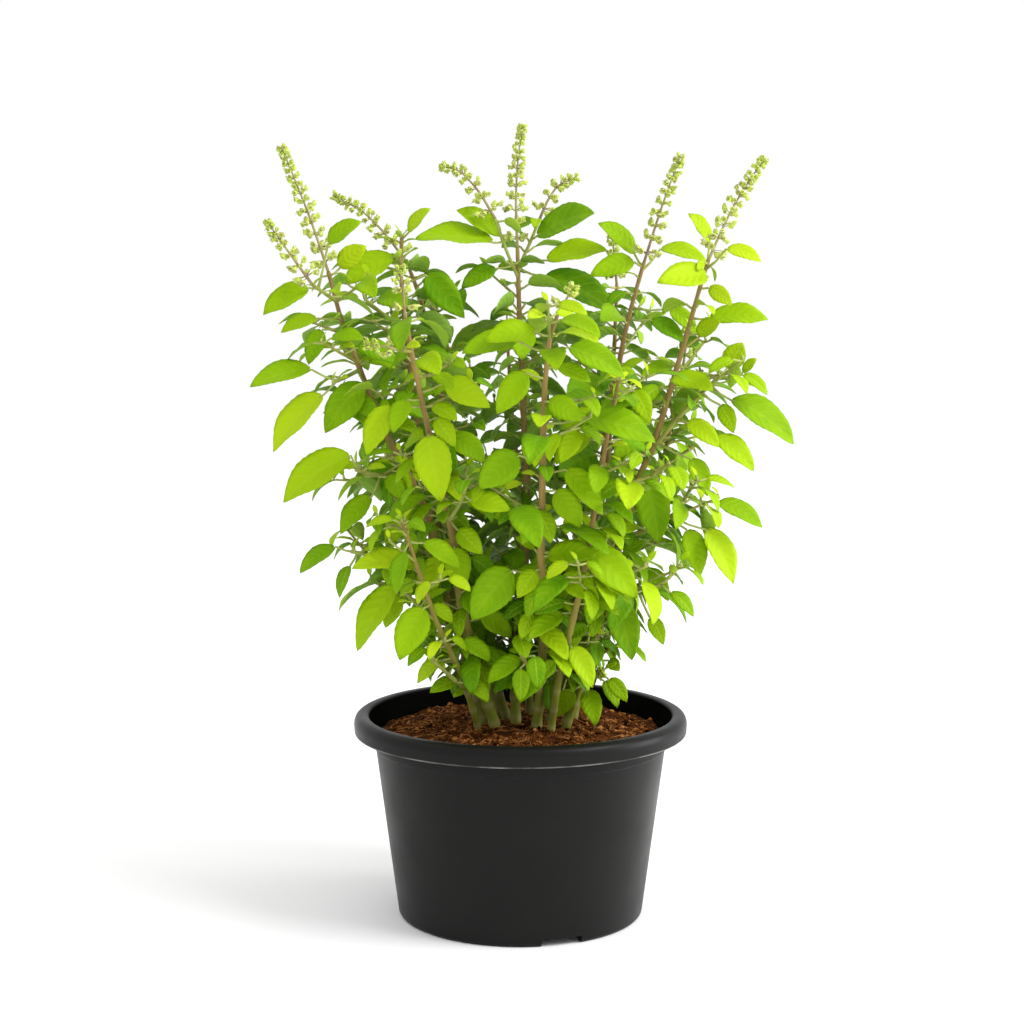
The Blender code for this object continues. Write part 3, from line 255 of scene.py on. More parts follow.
# Main stems: radius at the soil and at the top, where each leaves the soil, how many of the last readings are
# the flower spike, and the route
STEMS = {
    "stem_left": (1.9, 0.62, (-12.0, 3.5), 2, (
        (-17.5, 83.5, 3), (-24.5, 105, 2), (-29, 127, 1), (-35, 140.5, 0), (-40.5, 150, -1),
        (-46.5, 164, -3), (-56, 189, -5), (-60, 204.5, -6), (-66, 222.5, -7), (-74, 242.5, -8))),
    "stem_front_left": (2.0, 0.6, (-8.0, -4.0), 1, (
        (-13.5, 75.5, -7), (-19, 101, -13), (-21.5, 122, -18), (-29, 155, -26), (-33, 173.5, -30),
        (-36, 190, -33), (-37.5, 206, -35))),
    "stem_mid_left": (1.7, 0.6, (-4.5, 8.5), 3, (
        (-13, 88, 14), (-19, 114, 18), (-24, 159.5, 24), (-27.5, 181, 26), (-31.5, 197, 26),
        (-35.5, 207.5, 26), (-41.5, 215.5, 26), (-49.5, 223.5, 26), (-58, 228, 26))),
    "stem_leafy_left": (1.5, 0.6, (-10.5, 10.5), 0, (
        (-18.5, 88, 11), (-24, 114, 12), (-30.5, 145.5, 10), (-35.5, 180, 8), (-37.5, 205, 7),
        (-37, 215.5, 6))),
    "stem_center": (1.9, 0.65, (-1.5, 2.0), 3, (
        (-2, 88, 6), (1.5, 114, 10), (2, 136, 12), (1, 158.5, 14), (-0.5, 194, 14), (-1, 212, 14),
        (-1.5, 225, 14), (-1, 237.5, 13), (0.5, 249.5, 12))),
    "stem_front": (1.9, 0.6, (5.0, -6.5), 1, (
        (6, 68, -10), (7.5, 89.5, -18), (6.5, 112, -25), (7, 144.5, -34), (7.5, 168.5, -40),
        (9, 183.5, -42), (11.5, 191, -43), (16.5, 200, -45))),
    "stem_right": (1.8, 0.6, (9.5, 4.5), 2, (
        (15.5, 85, 6), (21.5, 112, 8), (23, 126, 9), (26.5, 135.5, 9), (28.5, 162.5, 10), (32.5, 185, 8),
        (35.5, 197, 6), (38.5, 207.5, 5), (44, 225, 3), (49.5, 240, 2))),
    "stem_far_right": (1.8, 0.6, (14.5, -2.0), 2, (
        (18.5, 72, -3), (23, 87, -5), (26, 101, -6), (32, 121, -8), (37, 139.5, -9), (41.5, 149, -10),
        (45.5, 162.5, -10), (52, 185, -10), (55.5, 198, -10), (58.5, 208, -10), (66.5, 225.5, -10),
        (75, 238.5, -10))),
    "stem_back_right": (1.6, 0.55, (11.0, 13.0), 1, (
        (17.5, 88, 26), (22, 120, 36), (27, 155, 42), (29.5, 183.5, 44), (30, 200.5, 44),
        (28.5, 215.5, 44))),
    "stem_front_right": (1.4, 0.55, (9.5, -10.5), 0, (
        (12.5, 78, -18), (19, 104, -28), (24, 133, -32), (27.5, 155, -34), (31, 171.5, -35))),
    "stem_low_left": (1.3, 0.55, (-13.5, -6.0), 0, (
        (-18.5, 76.5, -17), (-27, 94.5, -26), (-33.5, 114, -33), (-37.5, 126.5, -36))),
    "stem_back_left": (1.6, 0.55, (-6.5, 15.5), 1, (
        (-21, 101, 36), (-32, 133, 49), (-36.5, 163, 54), (-38.5, 181.5, 55), (-39, 195.5, 56))),
    "stem_back": (1.6, 0.55, (3.0, 14.5), 1, (
        (2, 101, 34), (0, 133, 49), (-3, 163, 57), (-4, 181.5, 59), (-4.5, 196.5, 61))),
    "stem_far_back_right": (1.5, 0.55, (17.0, 6.5), 1, (
        (28.5, 101, 22), (40.5, 129.5, 30), (47.5, 156.5, 34), (51, 175.5, 36), (53, 190, 37))),
}

# Side shoots that the photograph shows: the stem, where it leaves that stem, its route, and the route of the
# flower spike on its end
SHOOTS = {
    "shoot_left_spike": ("stem_left", (-58.5, 195, -6), ((-65, 200.5, -15),),
                         ((-71.5, 209.5, -19), (-78.5, 219.5, -21))),
    "shoot_left_high": ("stem_left", (-50.5, 174, -4), ((-55, 171.5, -8), (-59, 170, -11)), ()),
    "shoot_left_mid": ("stem_left", (-35, 140.5, 0), ((-44.5, 140.5, -8), (-52, 142.5, -14)), ()),
    "shoot_left_low": ("stem_left", (-25.5, 109, 2), ((-36.5, 113, -8), (-53.5, 116.5, -14)), ()),
    "shoot_low_left": ("stem_low_left", (-27, 94.5, -26), ((-33.5, 100, -26), (-38, 105, -24)), ()),
    "shoot_foot_left": ("stem_low_left", (-16.5, 72, -15),
                        ((-21, 75, -20), (-24.5, 78.5, -23), (-28, 81.5, -25)), ()),
    "shoot_front_left_spike": ("stem_front_left", (-35, 179.5, -31), ((-38, 180, -35),),
                               ((-43, 181.5, -38), (-48.5, 182, -40))),
    "shoot_mid_left": ("stem_front_left", (-22.5, 126.5, -19), ((-18.5, 133, -30), (-16.5, 139.5, -38)), ()),
    "shoot_center_left_spike": ("stem_center", (-1, 202.5, 14), ((-4.5, 211, 11), (-8, 221, 10)),
                                ((-13, 229.5, 9), (-19, 236, 8), (-25, 237, 7))),
    "shoot_center_right_spike": ("stem_center", (-1, 205.5, 14), ((3, 213.5, 17), (6, 221, 18)),
                                 ((8, 226, 18), (11.5, 231.5, 18), (17, 233.5, 19))),
    "shoot_right_high": ("stem_far_right", (41.5, 149, -10),
                         ((47.5, 156.5, -12), (55, 165, -10), (63, 172.5, -8)), ()),
    "shoot_right_mid": ("stem_far_right", (32, 121, -8),
                        ((41, 123.5, -14), (50, 129, -17), (54, 137.5, -16)), ()),
    "shoot_right_low": ("stem_far_right", (28.5, 109, -7),
                        ((38, 104, -18), (45.5, 106, -22), (50.5, 112, -22)), ()),
    "shoot_foot_right": ("stem_far_right", (19, 74, -3), ((22, 75, -8), (26.5, 78, -12)), ()),
    "shoot_front_low": ("stem_front", (6, 72, -12), ((2.5, 79, -22), (0, 84, -28)), ()),
}

# Leaves that the photograph shows best: across and height of the blade's base, then of its tip, the depth,
# and the width as a share of the length
SEEN_LEAVES = (
    (-65.5, 174, -85, 168.5, -12, 0.34), (-62, 166, -78, 148, -10, 0.36),
    (-49, 169.5, -61.5, 154, -22, 0.52), (-53.5, 147, -75, 132, -20, 0.42),
    (-42.5, 147, -42.5, 132, -16, 0.60), (-47, 134, -57, 122, -12, 0.45),
    (-33.5, 130.5, -42.5, 117.5, -24, 0.48), (-58.5, 118, -70, 109.5, -15, 0.38),
    (-54, 112, -57.5, 101.5, -13, 0.36), (-33.5, 113.5, -53.5, 111, -26, 0.34),
    (-39, 105.5, -52, 84.5, -24, 0.36), (-37.5, 102.5, -43, 92, -20, 0.50),
    (-30.5, 98.5, -38.5, 81.5, -31, 0.58), (-26, 115, -30.5, 99, -33, 0.46),
    (-21, 118, -18, 104, -36, 0.62), (-2.5, 110.5, -15.5, 94.5, -40, 0.62),
    (-30, 85.5, -36, 79.5, -18, 0.45), (-25.5, 81.5, -33, 74, -19, 0.40),
    (-19.5, 75, -29, 71, -17, 0.45), (-16, 72.5, -21.5, 69.5, -14, 0.42),
    (-66, 199.5, -80.5, 191, -10, 0.42), (-62, 186.5, -66.5, 175.5, -14, 0.52),
    (-63.5, 190, -75, 185.5, -8, 0.38), (-60, 213, -49.5, 220, 2, 0.42),
    (-56.5, 205.5, -48, 212.5, 0, 0.60), (-39.5, 209, -55, 200.5, 12, 0.46),
    (-29, 153.5, -25, 132, -44, 0.56), (-24, 170, -9.5, 162, -44, 0.52),
    (-1, 183, -18.5, 179, -32, 0.40), (2, 173, -7.5, 160, -44, 0.54),
    (-40.5, 162.5, -48.5, 147, -30, 0.48), (-35.5, 164.5, -40, 154, -38, 0.48),
    (-0.5, 147, -13, 136.5, -40, 0.66), (-26.5, 159, -20.5, 149.5, -40, 0.55),
    (-16, 133, -3, 129.5, -38, 0.50), (-20, 123.5, -12, 115.5, -38, 0.60),
    (-8.5, 213.5, -33, 214.5, 2, 0.26), (-6, 215.5, -20, 223.5, 10, 0.38),
    (-7.5, 205.5, -18.5, 199, 0, 0.44), (-35, 216.5, -28, 224, 4, 0.36),
    (-29.5, 203.5, -17.5, 190, -14, 0.52), (5, 215.5, 23, 222.5, 8, 0.36),
    (8, 208, 27, 211, 2, 0.34), (7.5, 203, 30, 191, -8, 0.36),
    (35.5, 210, 24, 219.5, 14, 0.38), (35.5, 207.5, 21.5, 203, 2, 0.46),
    (43.5, 211.5, 58, 207.5, -2, 0.32), (58.5, 203, 42.5, 201, -10, 0.44),
    (59, 213.5, 52, 222.5, -5, 0.36), (64, 211.5, 75, 207.5, -6, 0.38),
    (59, 190, 77.5, 189.5, -8, 0.36), (58.5, 199.5, 66, 194, -14, 0.55),
    (46.5, 193, 55, 185, -16, 0.46), (55, 185, 62.5, 189, -8, 0.50),
    (40.5, 189.5, 51, 182.5, -20, 0.42), (64.5, 174, 69.5, 182.5, -6, 0.72),
    (69.5, 173, 74, 177.5, -4, 0.45), (69.5, 172.5, 77.5, 166, -8, 0.36),
    (66, 164.5, 86, 150.5, -8, 0.36), (62.5, 163, 67, 154, -12, 0.56),
    (61, 153, 73.5, 142, -13, 0.42), (52, 157.5, 62.5, 149.5, -18, 0.48),
    (47, 171, 60.5, 167.5, -22, 0.40), (53.5, 146, 59, 134, -13, 0.48),
    (62, 132, 76.5, 124, -10, 0.36), (58.5, 123.5, 67.5, 106, -14, 0.42),
    (52.5, 123.5, 57, 108.5, -9, 0.50), (39.5, 138.5, 43.5, 119, -40, 0.56),
    (35.5, 167.5, 40.5, 157, -38, 0.56), (20, 159, 42.5, 151, -42, 0.40),
    (15, 181, 32.5, 171.5, -36, 0.42), (11.5, 175, 22, 170, -42, 0.44),
    (8.5, 164, 19.5, 158, -44, 0.60), (18, 155.5, 12.5, 144.5, -40, 0.58),
    (14, 142.5, 26, 128, -40, 0.44), (11, 136, 19, 124, -36, 0.60),
    (-1.5, 131, 6, 117.5, -38, 0.50), (8.5, 115, 24, 115, -46, 0.46),
    (20.5, 117, 37, 101.5, -46, 0.50), (13, 108.5, 25, 100.5, -42, 0.52),
    (29, 101, 35.5, 81.5, -36, 0.50), (39, 111, 47, 100.5, -26, 0.46),
    (47.5, 103.5, 55, 95.5, -22, 0.42), (41, 95.5, 45.5, 86.5, -20, 0.52),
    (6, 92.5, 15, 81.5, -38, 0.44), (16, 86, 23, 72.5, -32, 0.48),
    (4.5, 83, 5.5, 72, -36, 0.58), (0, 79, 0, 67.5, -32, 0.50),
    (-0.5, 90, 2, 82, -38, 0.58), (5, 110.5, -1, 101.5, -42, 0.60),
    (5.5, 105.5, 2, 95, -40, 0.52), (0, 82.5, -10.5, 74, -30, 0.46),
    (17, 72, 10, 62.5, -24, 0.52), (21, 72, 24, 60, -22, 0.52),
    (26.5, 75, 31, 66, -16, 0.48), (28, 75.5, 34, 68, -13, 0.55),
    (28, 81.5, 31.5, 78, -12, 0.80),
)

# Leaves at the front: the reading on the stem, the azimuth in degrees and the length in millimetres
FRONT_LEAVES = (((8.5, 179.5, -42), -84, 17.0), ((7, 152, -37), -100, 20.0), ((7, 123.5, -29), -80, 22.0))

# The crown's outline by rule: the farthest that a leaf reaches from the pot's axis at each height
CROWN_REACH = ((66, 16), (76, 34), (88, 48), (97, 57), (108, 66), (125, 74), (150, 80), (168, 82), (188, 78),
               (204, 64), (214, 38), (220, 20))
CROWN_DEPTH_SHARE = 0.94
CROWN_DEPTH = 63.5

# The rule for leaves and side shoots: lengths in millimetres, angles in radians, the rest shares or counts
NODE_SPACING = 12.5
SHOOT_NODE_SPACING = 9.5
FIRST_NODE_Z = 76.0
SIDE_SHOOT_GAP = 30.0
LEAF_LENGTHS = (15.0, 24.0)
CLEARANCE = 0.5
BLADE_SHARE = 0.52
RULE_WIDTHS = (0.42, 0.54)
STALK_SHARE = 0.24
ARCH_UP = 0.12
ARCH_OUT = 0.06
FACING_UP = 0.75
FACING_OUT = 0.7
FACING_SWAY = 0.25
LEAF_RISES = (0.15, 0.6)
LEAF_DROOPS = (0.75, 1.35)
LOW_LEAF_DROP = 0.45
END_LEAF_SHARE = 0.72
FRONT_RISE = 0.2
FRONT_DROOP = 0.9
SOIL_CLEAR_Z = 63.5
POT_CLEAR_Z = 67.5
POT_CLEAR_R = 38.0
LONG_STATIONS = (0.0, 0.24, 0.5, 0.76)
MIDDLE_STATIONS = (0.0, 0.28, 0.64)
SHORT_STATIONS = (0.12, 0.5)
LONG_LEAF = 18.5
SHORT_LEAF = 20.5
FOLD = 0.26
END_SINK = 1.0
BEND_COST = 6.0
ROOT_SINK = 0.13
HIDING_REACH = 8.0
DEPTH_SHIFTS = range(-16, 25, 2)
SHIFT_COST = 0.22
SHORTEST_STALK = 2.6
CHOICES_TRIED = 60
TIP_LEANS = (-3, -8, 3, -13, 9, 15)
LONGEST_LEAF = 30.0
SHOOT_MARGIN = 17.0
LONGEST_SHOOT = 46.0
SHOOT_RISES = (0.30, 0.55)
SHOOT_RADII = (0.75, 0.5)
SHOOT_GUARD_RADII = (1.3, 1.1)
THICKEST_SHOOT = 0.85
SHOOT_END_R = 0.55
SITE_SPREADS = (15.0, 11.0, 8.0, 5.0, 3.0)
LEAF_LOWERINGS = (0.0, 0.5)
LEAF_SWINGS = (0.0, 0.35, -0.35, 0.7, -0.7, 1.05, -1.05)


def viewpoint():
    return Vector((VIEW_X, -VIEW_DISTANCE, VIEW_HEIGHT))


def seen(across, height, depth):
    """The point that a reading stands for."""
    eye = viewpoint()
    return eye + (Vector((across, 0.0, height)) - eye) * (1 + depth / VIEW_DISTANCE)


def reading_of(point):
    """The reading (across, height, depth) of a point."""
    eye = viewpoint()
    on_plane = eye + (point - eye) / (1 + point.y / VIEW_DISTANCE)
    return on_plane.x, on_plane.z, point.y


def smooth_route(points, step):
    """Points about step apart on a Catmull-Rom curve through the given ones."""
    out = []
    for i in range(len(points) - 1):
        before, a = points[max(i - 1, 0)], points[i]
        b, after = points[i + 1], points[min(i + 2, len(points) - 1)]
        count = max(1, round((b - a).length / step))
        for k in range(count):
            t = k / count
            out.append(0.5 * (2 * a + (b - before) * t + (2 * before - 5 * a + 4 * b - after) * t * t
                              + (3 * a - 3 * b + after - before) * t ** 3))
    return out + [points[-1]]


def reach_at(z):
    """The crown's radius at a height, from CROWN_REACH."""
    if z <= CROWN_REACH[0][0] or z >= CROWN_REACH[-1][0]:
        return 0.0
    for (z0, r0), (z1, r1) in zip(CROWN_REACH, CROWN_REACH[1:]):
        if z <= z1:
            return r0 + (r1 - r0) * (z - z0) / (z1 - z0)
    return 0.0


class Axis:
    """A stem, side shoot or spike: its centre line, its radius along it, and the stem that it grows with."""

    def __init__(self, name, stem, route, radii, step):
        self.name, self.stem = name, stem
        self.line = smooth_route(route, step)
        self.radii = radii
        self.at = [0.0]
        for a, b in zip(self.line, self.line[1:]):
            self.at.append(self.at[-1] + (b - a).length)
        self.length = self.at[-1]

    def point(self, s):
        """The point at arc length s, and the direction there."""
        s = min(max(s, 0.0), self.length)
        k = next((i for i in range(1, len(self.at)) if self.at[i] >= s), len(self.at) - 1)
        a, b = self.line[k - 1], self.line[k]
        share = (s - self.at[k - 1]) / max(self.at[k] - self.at[k - 1], 1e-9)
        return a.lerp(b, share), (b - a).normalized()

    def radius(self, s):
        return self.radii[0] + (self.radii[1] - self.radii[0]) * s / self.length

    def nearest(self, target):
        """(distance, arc length) of the nearest place on the centre line."""
        best = (1e9, 0.0)
        for k in range(len(self.line) - 1):
            a, b = self.line[k], self.line[k + 1]
            t = min(max((target - a).dot(b - a) / (b - a).length_squared, 0.0), 1.0)
            found = (a.lerp(b, t) - target).length
            if found < best[0]:
                best = (found, self.at[k] + t * (b - a).length)
        return best


class Leaf:
    """A leaf: its root in the stem, its blade's base and tip, the point that it arches to, and its width."""

    def __init__(self, axis, root, base, tip, arch, width, facing, seen_in_photo):
        self.axis, self.root, self.base, self.tip = axis, root, base, tip
        self.arch, self.width, self.facing = arch, width, facing
        self.seen_in_photo = seen_in_photo
        chord = (tip - base).normalized()
        self.side = chord.cross(facing).normalized()
        length = (tip - base).length
        self.stations = LONG_STATIONS if length > LONG_LEAF else MIDDLE_STATIONS
        if not seen_in_photo and length < SHORT_LEAF:
            self.stations = SHORT_STATIONS

    def spot(self, t):
        """The midrib's point at share t of the blade, and its direction there."""
        a, b, c = self.base, self.arch, self.tip
        point = a * (1 - t) ** 2 + b * 2 * t * (1 - t) + c * t * t
        along = ((b - a) * 2 * (1 - t) + (c - b) * 2 * t).normalized()
        return point, along

    def frame(self, along):
        """The blade's sideways and upper directions where it runs along."""
        side = self.side - along * self.side.dot(along)
        if side.length < 0.35:
            side = along.cross(self.facing)
        side.normalize()
        return side, side.cross(along).normalized()

    def half_width(self, t):
        """Half the blade's width at share t: widest below its middle and drawn to a point at both ends."""
        return 0.5 * self.width * (t ** 0.66) * ((1 - t) ** 0.88) / 0.3524 if 0 < t < 1 else 0.0


def leaf_solid(leaf, thick, petiole, spare=0.0, start=0.0):
    """Vertices and faces of a leaf as one closed solid: a petiole, then a blade folded along its midrib.

    The petiole begins just behind the stem's centre line, or start millimetres out from it.
    """
    verts, faces = [], []
    stalk = (leaf.base - leaf.root).normalized()
    start = min(start, 0.8 * (leaf.base - leaf.root).length) if start else -ROOT_SINK
    sections = [(leaf.root + stalk * start, stalk, petiole, 0.0)]
    for t in leaf.stations:
        point, along = leaf.spot(t)
        sections.append((point, along, max(leaf.half_width(t), petiole) + spare, FOLD if t > 0 else 0.0))
    for point, along, half, fold in sections:
        side, upper = leaf.frame(along)
        edge = upper * (half * fold)
        middle = thick / 2 if half > petiole + spare else petiole
        verts += [point + side * half + edge, point + upper * middle, point - side * half + edge,
                  point - upper * middle]
    faces.append((0, 1, 2, 3))
    for k in range(len(sections) - 1):
        for i in range(4):
            a, b = 4 * k + i, 4 * k + (i + 1) % 4
            if i % 2:
                faces += [(a, a + 4, b), (b, a + 4, b + 4)]
            else:
                faces += [(a, b + 4, b), (a, a + 4, b + 4)]
    last = 4 * (len(sections) - 1)
    verts.append(leaf.tip)
    faces += [(last + (i + 1) % 4, last + i, len(verts) - 1) for i in range(4)]
    return verts, faces


def tapered(radii, count):
    """The radius at each of count places, going from the first of two radii to the second."""
    return [radii[0] + (radii[1] - radii[0]) * k / (count - 1) for k in range(count)]


def ring_faces(rings, sides):
    """Faces of a closed body of rings of corners: its first end, the walls between rings, its last end."""
    faces = [tuple(reversed(range(sides)))]
    for k in range(rings - 1):
        for i in range(sides):
            a, b = k * sides + i, k * sides + (i + 1) % sides
            faces.append((a, b, b + sides, a + sides))
    top = (rings - 1) * sides
    faces.append(tuple(range(top, top + sides)))
    return faces


def tube_solid(line, radii, sides):
    """Vertices and faces of a closed tube along a line, with a radius for each of its points."""
    verts = []
    for k, point in enumerate(line):
        along = (line[min(k + 1, len(line) - 1)] - line[max(k - 1, 0)]).normalized()
        side = (SIDE_REFERENCE - along * SIDE_REFERENCE.dot(along)).normalized()
        other = along.cross(side)
        for i in range(sides):
            turn = 2 * math.pi * i / sides
            verts.append(point + (side * math.cos(turn) + other * math.sin(turn)) * radii[k])
    return verts, ring_faces(len(line), sides)


def folds_over(verts, faces):
    """True if a solid's own surface crosses itself."""
    tree = tree_of(verts, faces)
    return any(not set(faces[a]) & set(faces[b]) for a, b in tree.overlap(tree))


def tree_of(verts, faces):
    return BVHTree.FromPolygons([tuple(v) for v in verts], faces)


def box_of(verts):
    """The lowest and the highest corner of the box around these vertices."""
    return [min(v[i] for v in verts) for i in range(3)], [max(v[i] for v in verts) for i in range(3)]


def boxes_meet(a, b):
    return all(a[0][i] <= b[1][i] and b[0][i] <= a[1][i] for i in range(3))


class Plant:
    """The plant's axes and leaves. Each is placed clear of everything that was placed before it."""

    def __init__(self):
        self.axes, self.leaves, self.taken = {}, [], []
        self.draw = random.Random(SEED)
        self.spikes = {}
        self.clearance, self.hiding_reach = CLEARANCE, HIDING_REACH

    def add_axis(self, axis, sides):
        self.axes[axis.name] = axis
        verts, faces = tube_solid(axis.line, tapered(axis.radii, len(axis.line)), sides)
        self.taken.append((axis.name, box_of(verts), tree_of(verts, faces)))

    def clear(self, solid, own=""):
        """True if this solid meets nothing that is placed already, apart from its own stem."""
        verts, faces = solid
        for v in verts:
            if v.z < SOIL_CLEAR_Z or (v.z < POT_CLEAR_Z and math.hypot(v.x, v.y) > POT_CLEAR_R):
                return False
        box, tree = box_of(verts), None
        for name, other, other_tree in self.taken:
            if name == own or not boxes_meet(box, other):
                continue
            if tree is None:
                tree = tree_of(verts, faces)
            if tree.overlap(other_tree):
                return False
        return True

    def add_leaf(self, leaf):
        """Adds a leaf if it is clear, and says whether it was."""
        if folds_over(*leaf_solid(leaf, BLADE_THICK, PETIOLE_HALF)):
            return False
        skin = leaf.axis.radius(leaf.axis.nearest(leaf.root)[1])
        thick, petiole = BLADE_THICK + 2 * self.clearance, PETIOLE_HALF + 0.1
        if not self.clear(leaf_solid(leaf, thick, petiole, self.clearance, skin + 1.3)):
            return False
        if not self.clear(leaf_solid(leaf, thick, petiole, self.clearance, skin + 0.4), leaf.axis.name):
            return False
        verts, faces = leaf_solid(leaf, BLADE_THICK, PETIOLE_HALF, 0.0, skin + 0.4)
        self.taken.append(("leaf", box_of(verts), tree_of(verts, faces)))
        self.leaves.append(leaf)
        return True


def outward_at(point):
    flat = Vector((point.x, point.y, 0.0))
    return flat.normalized() if flat.length > 3.0 else Vector((0.0, -1.0, 0.0))


def leaf_facing(base, tip, draw):
    """Which way the blade's upper face looks: up and away from the crown's middle, with a little turn."""
    middle = (base + tip) / 2
    sway = Vector((draw.uniform(-FACING_SWAY, FACING_SWAY), draw.uniform(-FACING_SWAY, FACING_SWAY), 0.0))
    return (Vector((0.0, 0.0, FACING_UP)) + outward_at(middle) * FACING_OUT + sway).normalized()


def grow_axes(plant):
    """The main stems, the side shoots that the photograph shows, and the flower spikes on their ends."""
    for name, (foot, top, soil_at, spike_count, route) in STEMS.items():
        points = [Vector((*soil_at, SOIL_EDGE_Z - STEM_DEPTH)), Vector((*soil_at, SOIL_EDGE_Z + 2.5))]
        points += [seen(*reading) for reading in route]
        kept = points[:-spike_count] if spike_count else points
        plant.add_axis(Axis(name, name, kept, (foot, top), STEM_STEP), STEM_SIDES)
        if spike_count:
            plant.spikes["spike_" + name[5:]] = (name, points[-spike_count - 1:])
    for name, (stem, start, route, spike) in SHOOTS.items():
        carrier = plant.axes[stem]
        _, s = carrier.nearest(seen(*start))
        points = [carrier.point(s)[0]] + [seen(*reading) for reading in route]
        thick = min(THICKEST_SHOOT, carrier.radius(s) * 0.8)
        plant.add_axis(Axis(name, stem, points, (thick, SHOOT_END_R), SHOOT_STEP), SHOOT_SIDES)
        if spike:
            points = [points[-1]] + [seen(*reading) for reading in spike]
            plant.spikes["spike_" + name[6:].replace("_spike", "_side")] = (name, points)


def place_seen_leaves(plant):
    """The leaves read from the photograph. Each keeps its place in the view, at a depth near its stem's."""
    for base_x, base_z, tip_x, tip_z, depth, share in SEEN_LEAVES:
        choices = []
        for shift in DEPTH_SHIFTS:
            base = seen(base_x, base_z, depth + shift)
            for axis in plant.axes.values():
                found, s = axis.nearest(base)
                if found > SHORTEST_STALK and axis.point(s)[0].z > SOIL_CLEAR_Z + 3:
                    stalk = (base - axis.point(s)[0]).normalized()
                    chord = (seen(tip_x, tip_z, depth + shift) - base).normalized()
                    bend = BEND_COST * (1 - stalk.dot(chord))
                    choices.append((found + SHIFT_COST * abs(shift) + bend, depth + shift, axis, s))
        choices.sort(key=lambda c: c[0])
        place_one_seen(plant, choices[:CHOICES_TRIED], (base_x, base_z, tip_x, tip_z, share))


def place_front_leaves(plant):
    """Leaves that point at the viewer from the front stem: the photograph shows them end on."""
    axis = plant.axes["stem_front"]
    for reading, azimuth, length in FRONT_LEAVES:
        _, s = axis.nearest(seen(*reading))
        for swing in LEAF_SWINGS:
            turn = math.radians(azimuth) + swing
            if plant.add_leaf(rule_leaf(plant, axis, s, turn, length, FRONT_RISE, FRONT_DROOP)):
                break


def seen_facing(base, tip, share):
    """Which way a seen leaf's upper face looks: turned up until it shows the viewer this share of width."""
    chord = (tip - base).normalized()
    view = viewpoint() - base
    square = (view - chord * view.dot(chord)).normalized()
    lift = chord.cross(square)
    if lift.z < 0 or (abs(lift.z) < 0.3 and lift.dot(outward_at(base)) < 0):
        lift = -lift
    shown = min(share / BLADE_SHARE, 1.0)
    return square * shown + lift * math.sqrt(1 - shown * shown)


def place_one_seen(plant, choices, reading):
    """One leaf of the photograph, on the first of these choices where it is clear."""
    base_x, base_z, tip_x, tip_z, share = reading
    for _, near, axis, s in choices:
        base = seen(base_x, base_z, near)
        for lean in TIP_LEANS:
            tip = seen(tip_x, tip_z, near + lean)
            length = (tip - base).length
            if length > LONGEST_LEAF:
                continue
            facing = seen_facing(base, tip, share)
            arch = (base + tip) / 2 + Vector((0.0, 0.0, ARCH_UP * length))
            arch = arch + outward_at(base) * ARCH_OUT * length
            root = axis.point(max(s - 0.25 * min(12.0, (base - axis.point(s)[0]).length), 0.0))[0]
            leaf = Leaf(axis, root, base, tip, arch, max(share, BLADE_SHARE) * length, facing, True)
            if plant.add_leaf(leaf):
                return


def rule_leaf(plant, axis, s, azimuth, length, rise, droop):
    """A leaf that leaves its stem at an azimuth and a rise, and bends down along its blade."""
    draw = plant.draw
    root, _ = axis.point(s)
    flat = Vector((math.cos(azimuth), math.sin(azimuth), 0.0))
    stalk = axis.radius(s) + length * STALK_SHARE

    def way(angle):
        return flat * math.cos(angle) + Vector((0.0, 0.0, math.sin(angle)))

    base = root + way(rise) * stalk
    arch = base + way(rise - 0.25 * droop) * length * 0.5
    tip = arch + way(rise - droop) * length * 0.5
    width = length * draw.uniform(*RULE_WIDTHS)
    return Leaf(axis, root, base, tip, arch, width, leaf_facing(base, tip, draw), False)


def inside_crown(point, spare=0.0):
    depth = point.y / CROWN_DEPTH_SHARE
    return math.hypot(point.x, depth) <= reach_at(point.z) + spare and abs(point.y) < CROWN_DEPTH


def hides_seen_leaf(plant, leaf):
    """True if the leaf would stand in front of one that was read from the photograph."""
    x, z, depth = reading_of(leaf.spot(0.5)[0])
    for other in plant.leaves:
        if not other.seen_in_photo:
            continue
        other_x, other_z, other_depth = reading_of(other.spot(0.5)[0])
        if depth < other_depth and math.hypot(x - other_x, z - other_z) < plant.hiding_reach:
            return True
    return False


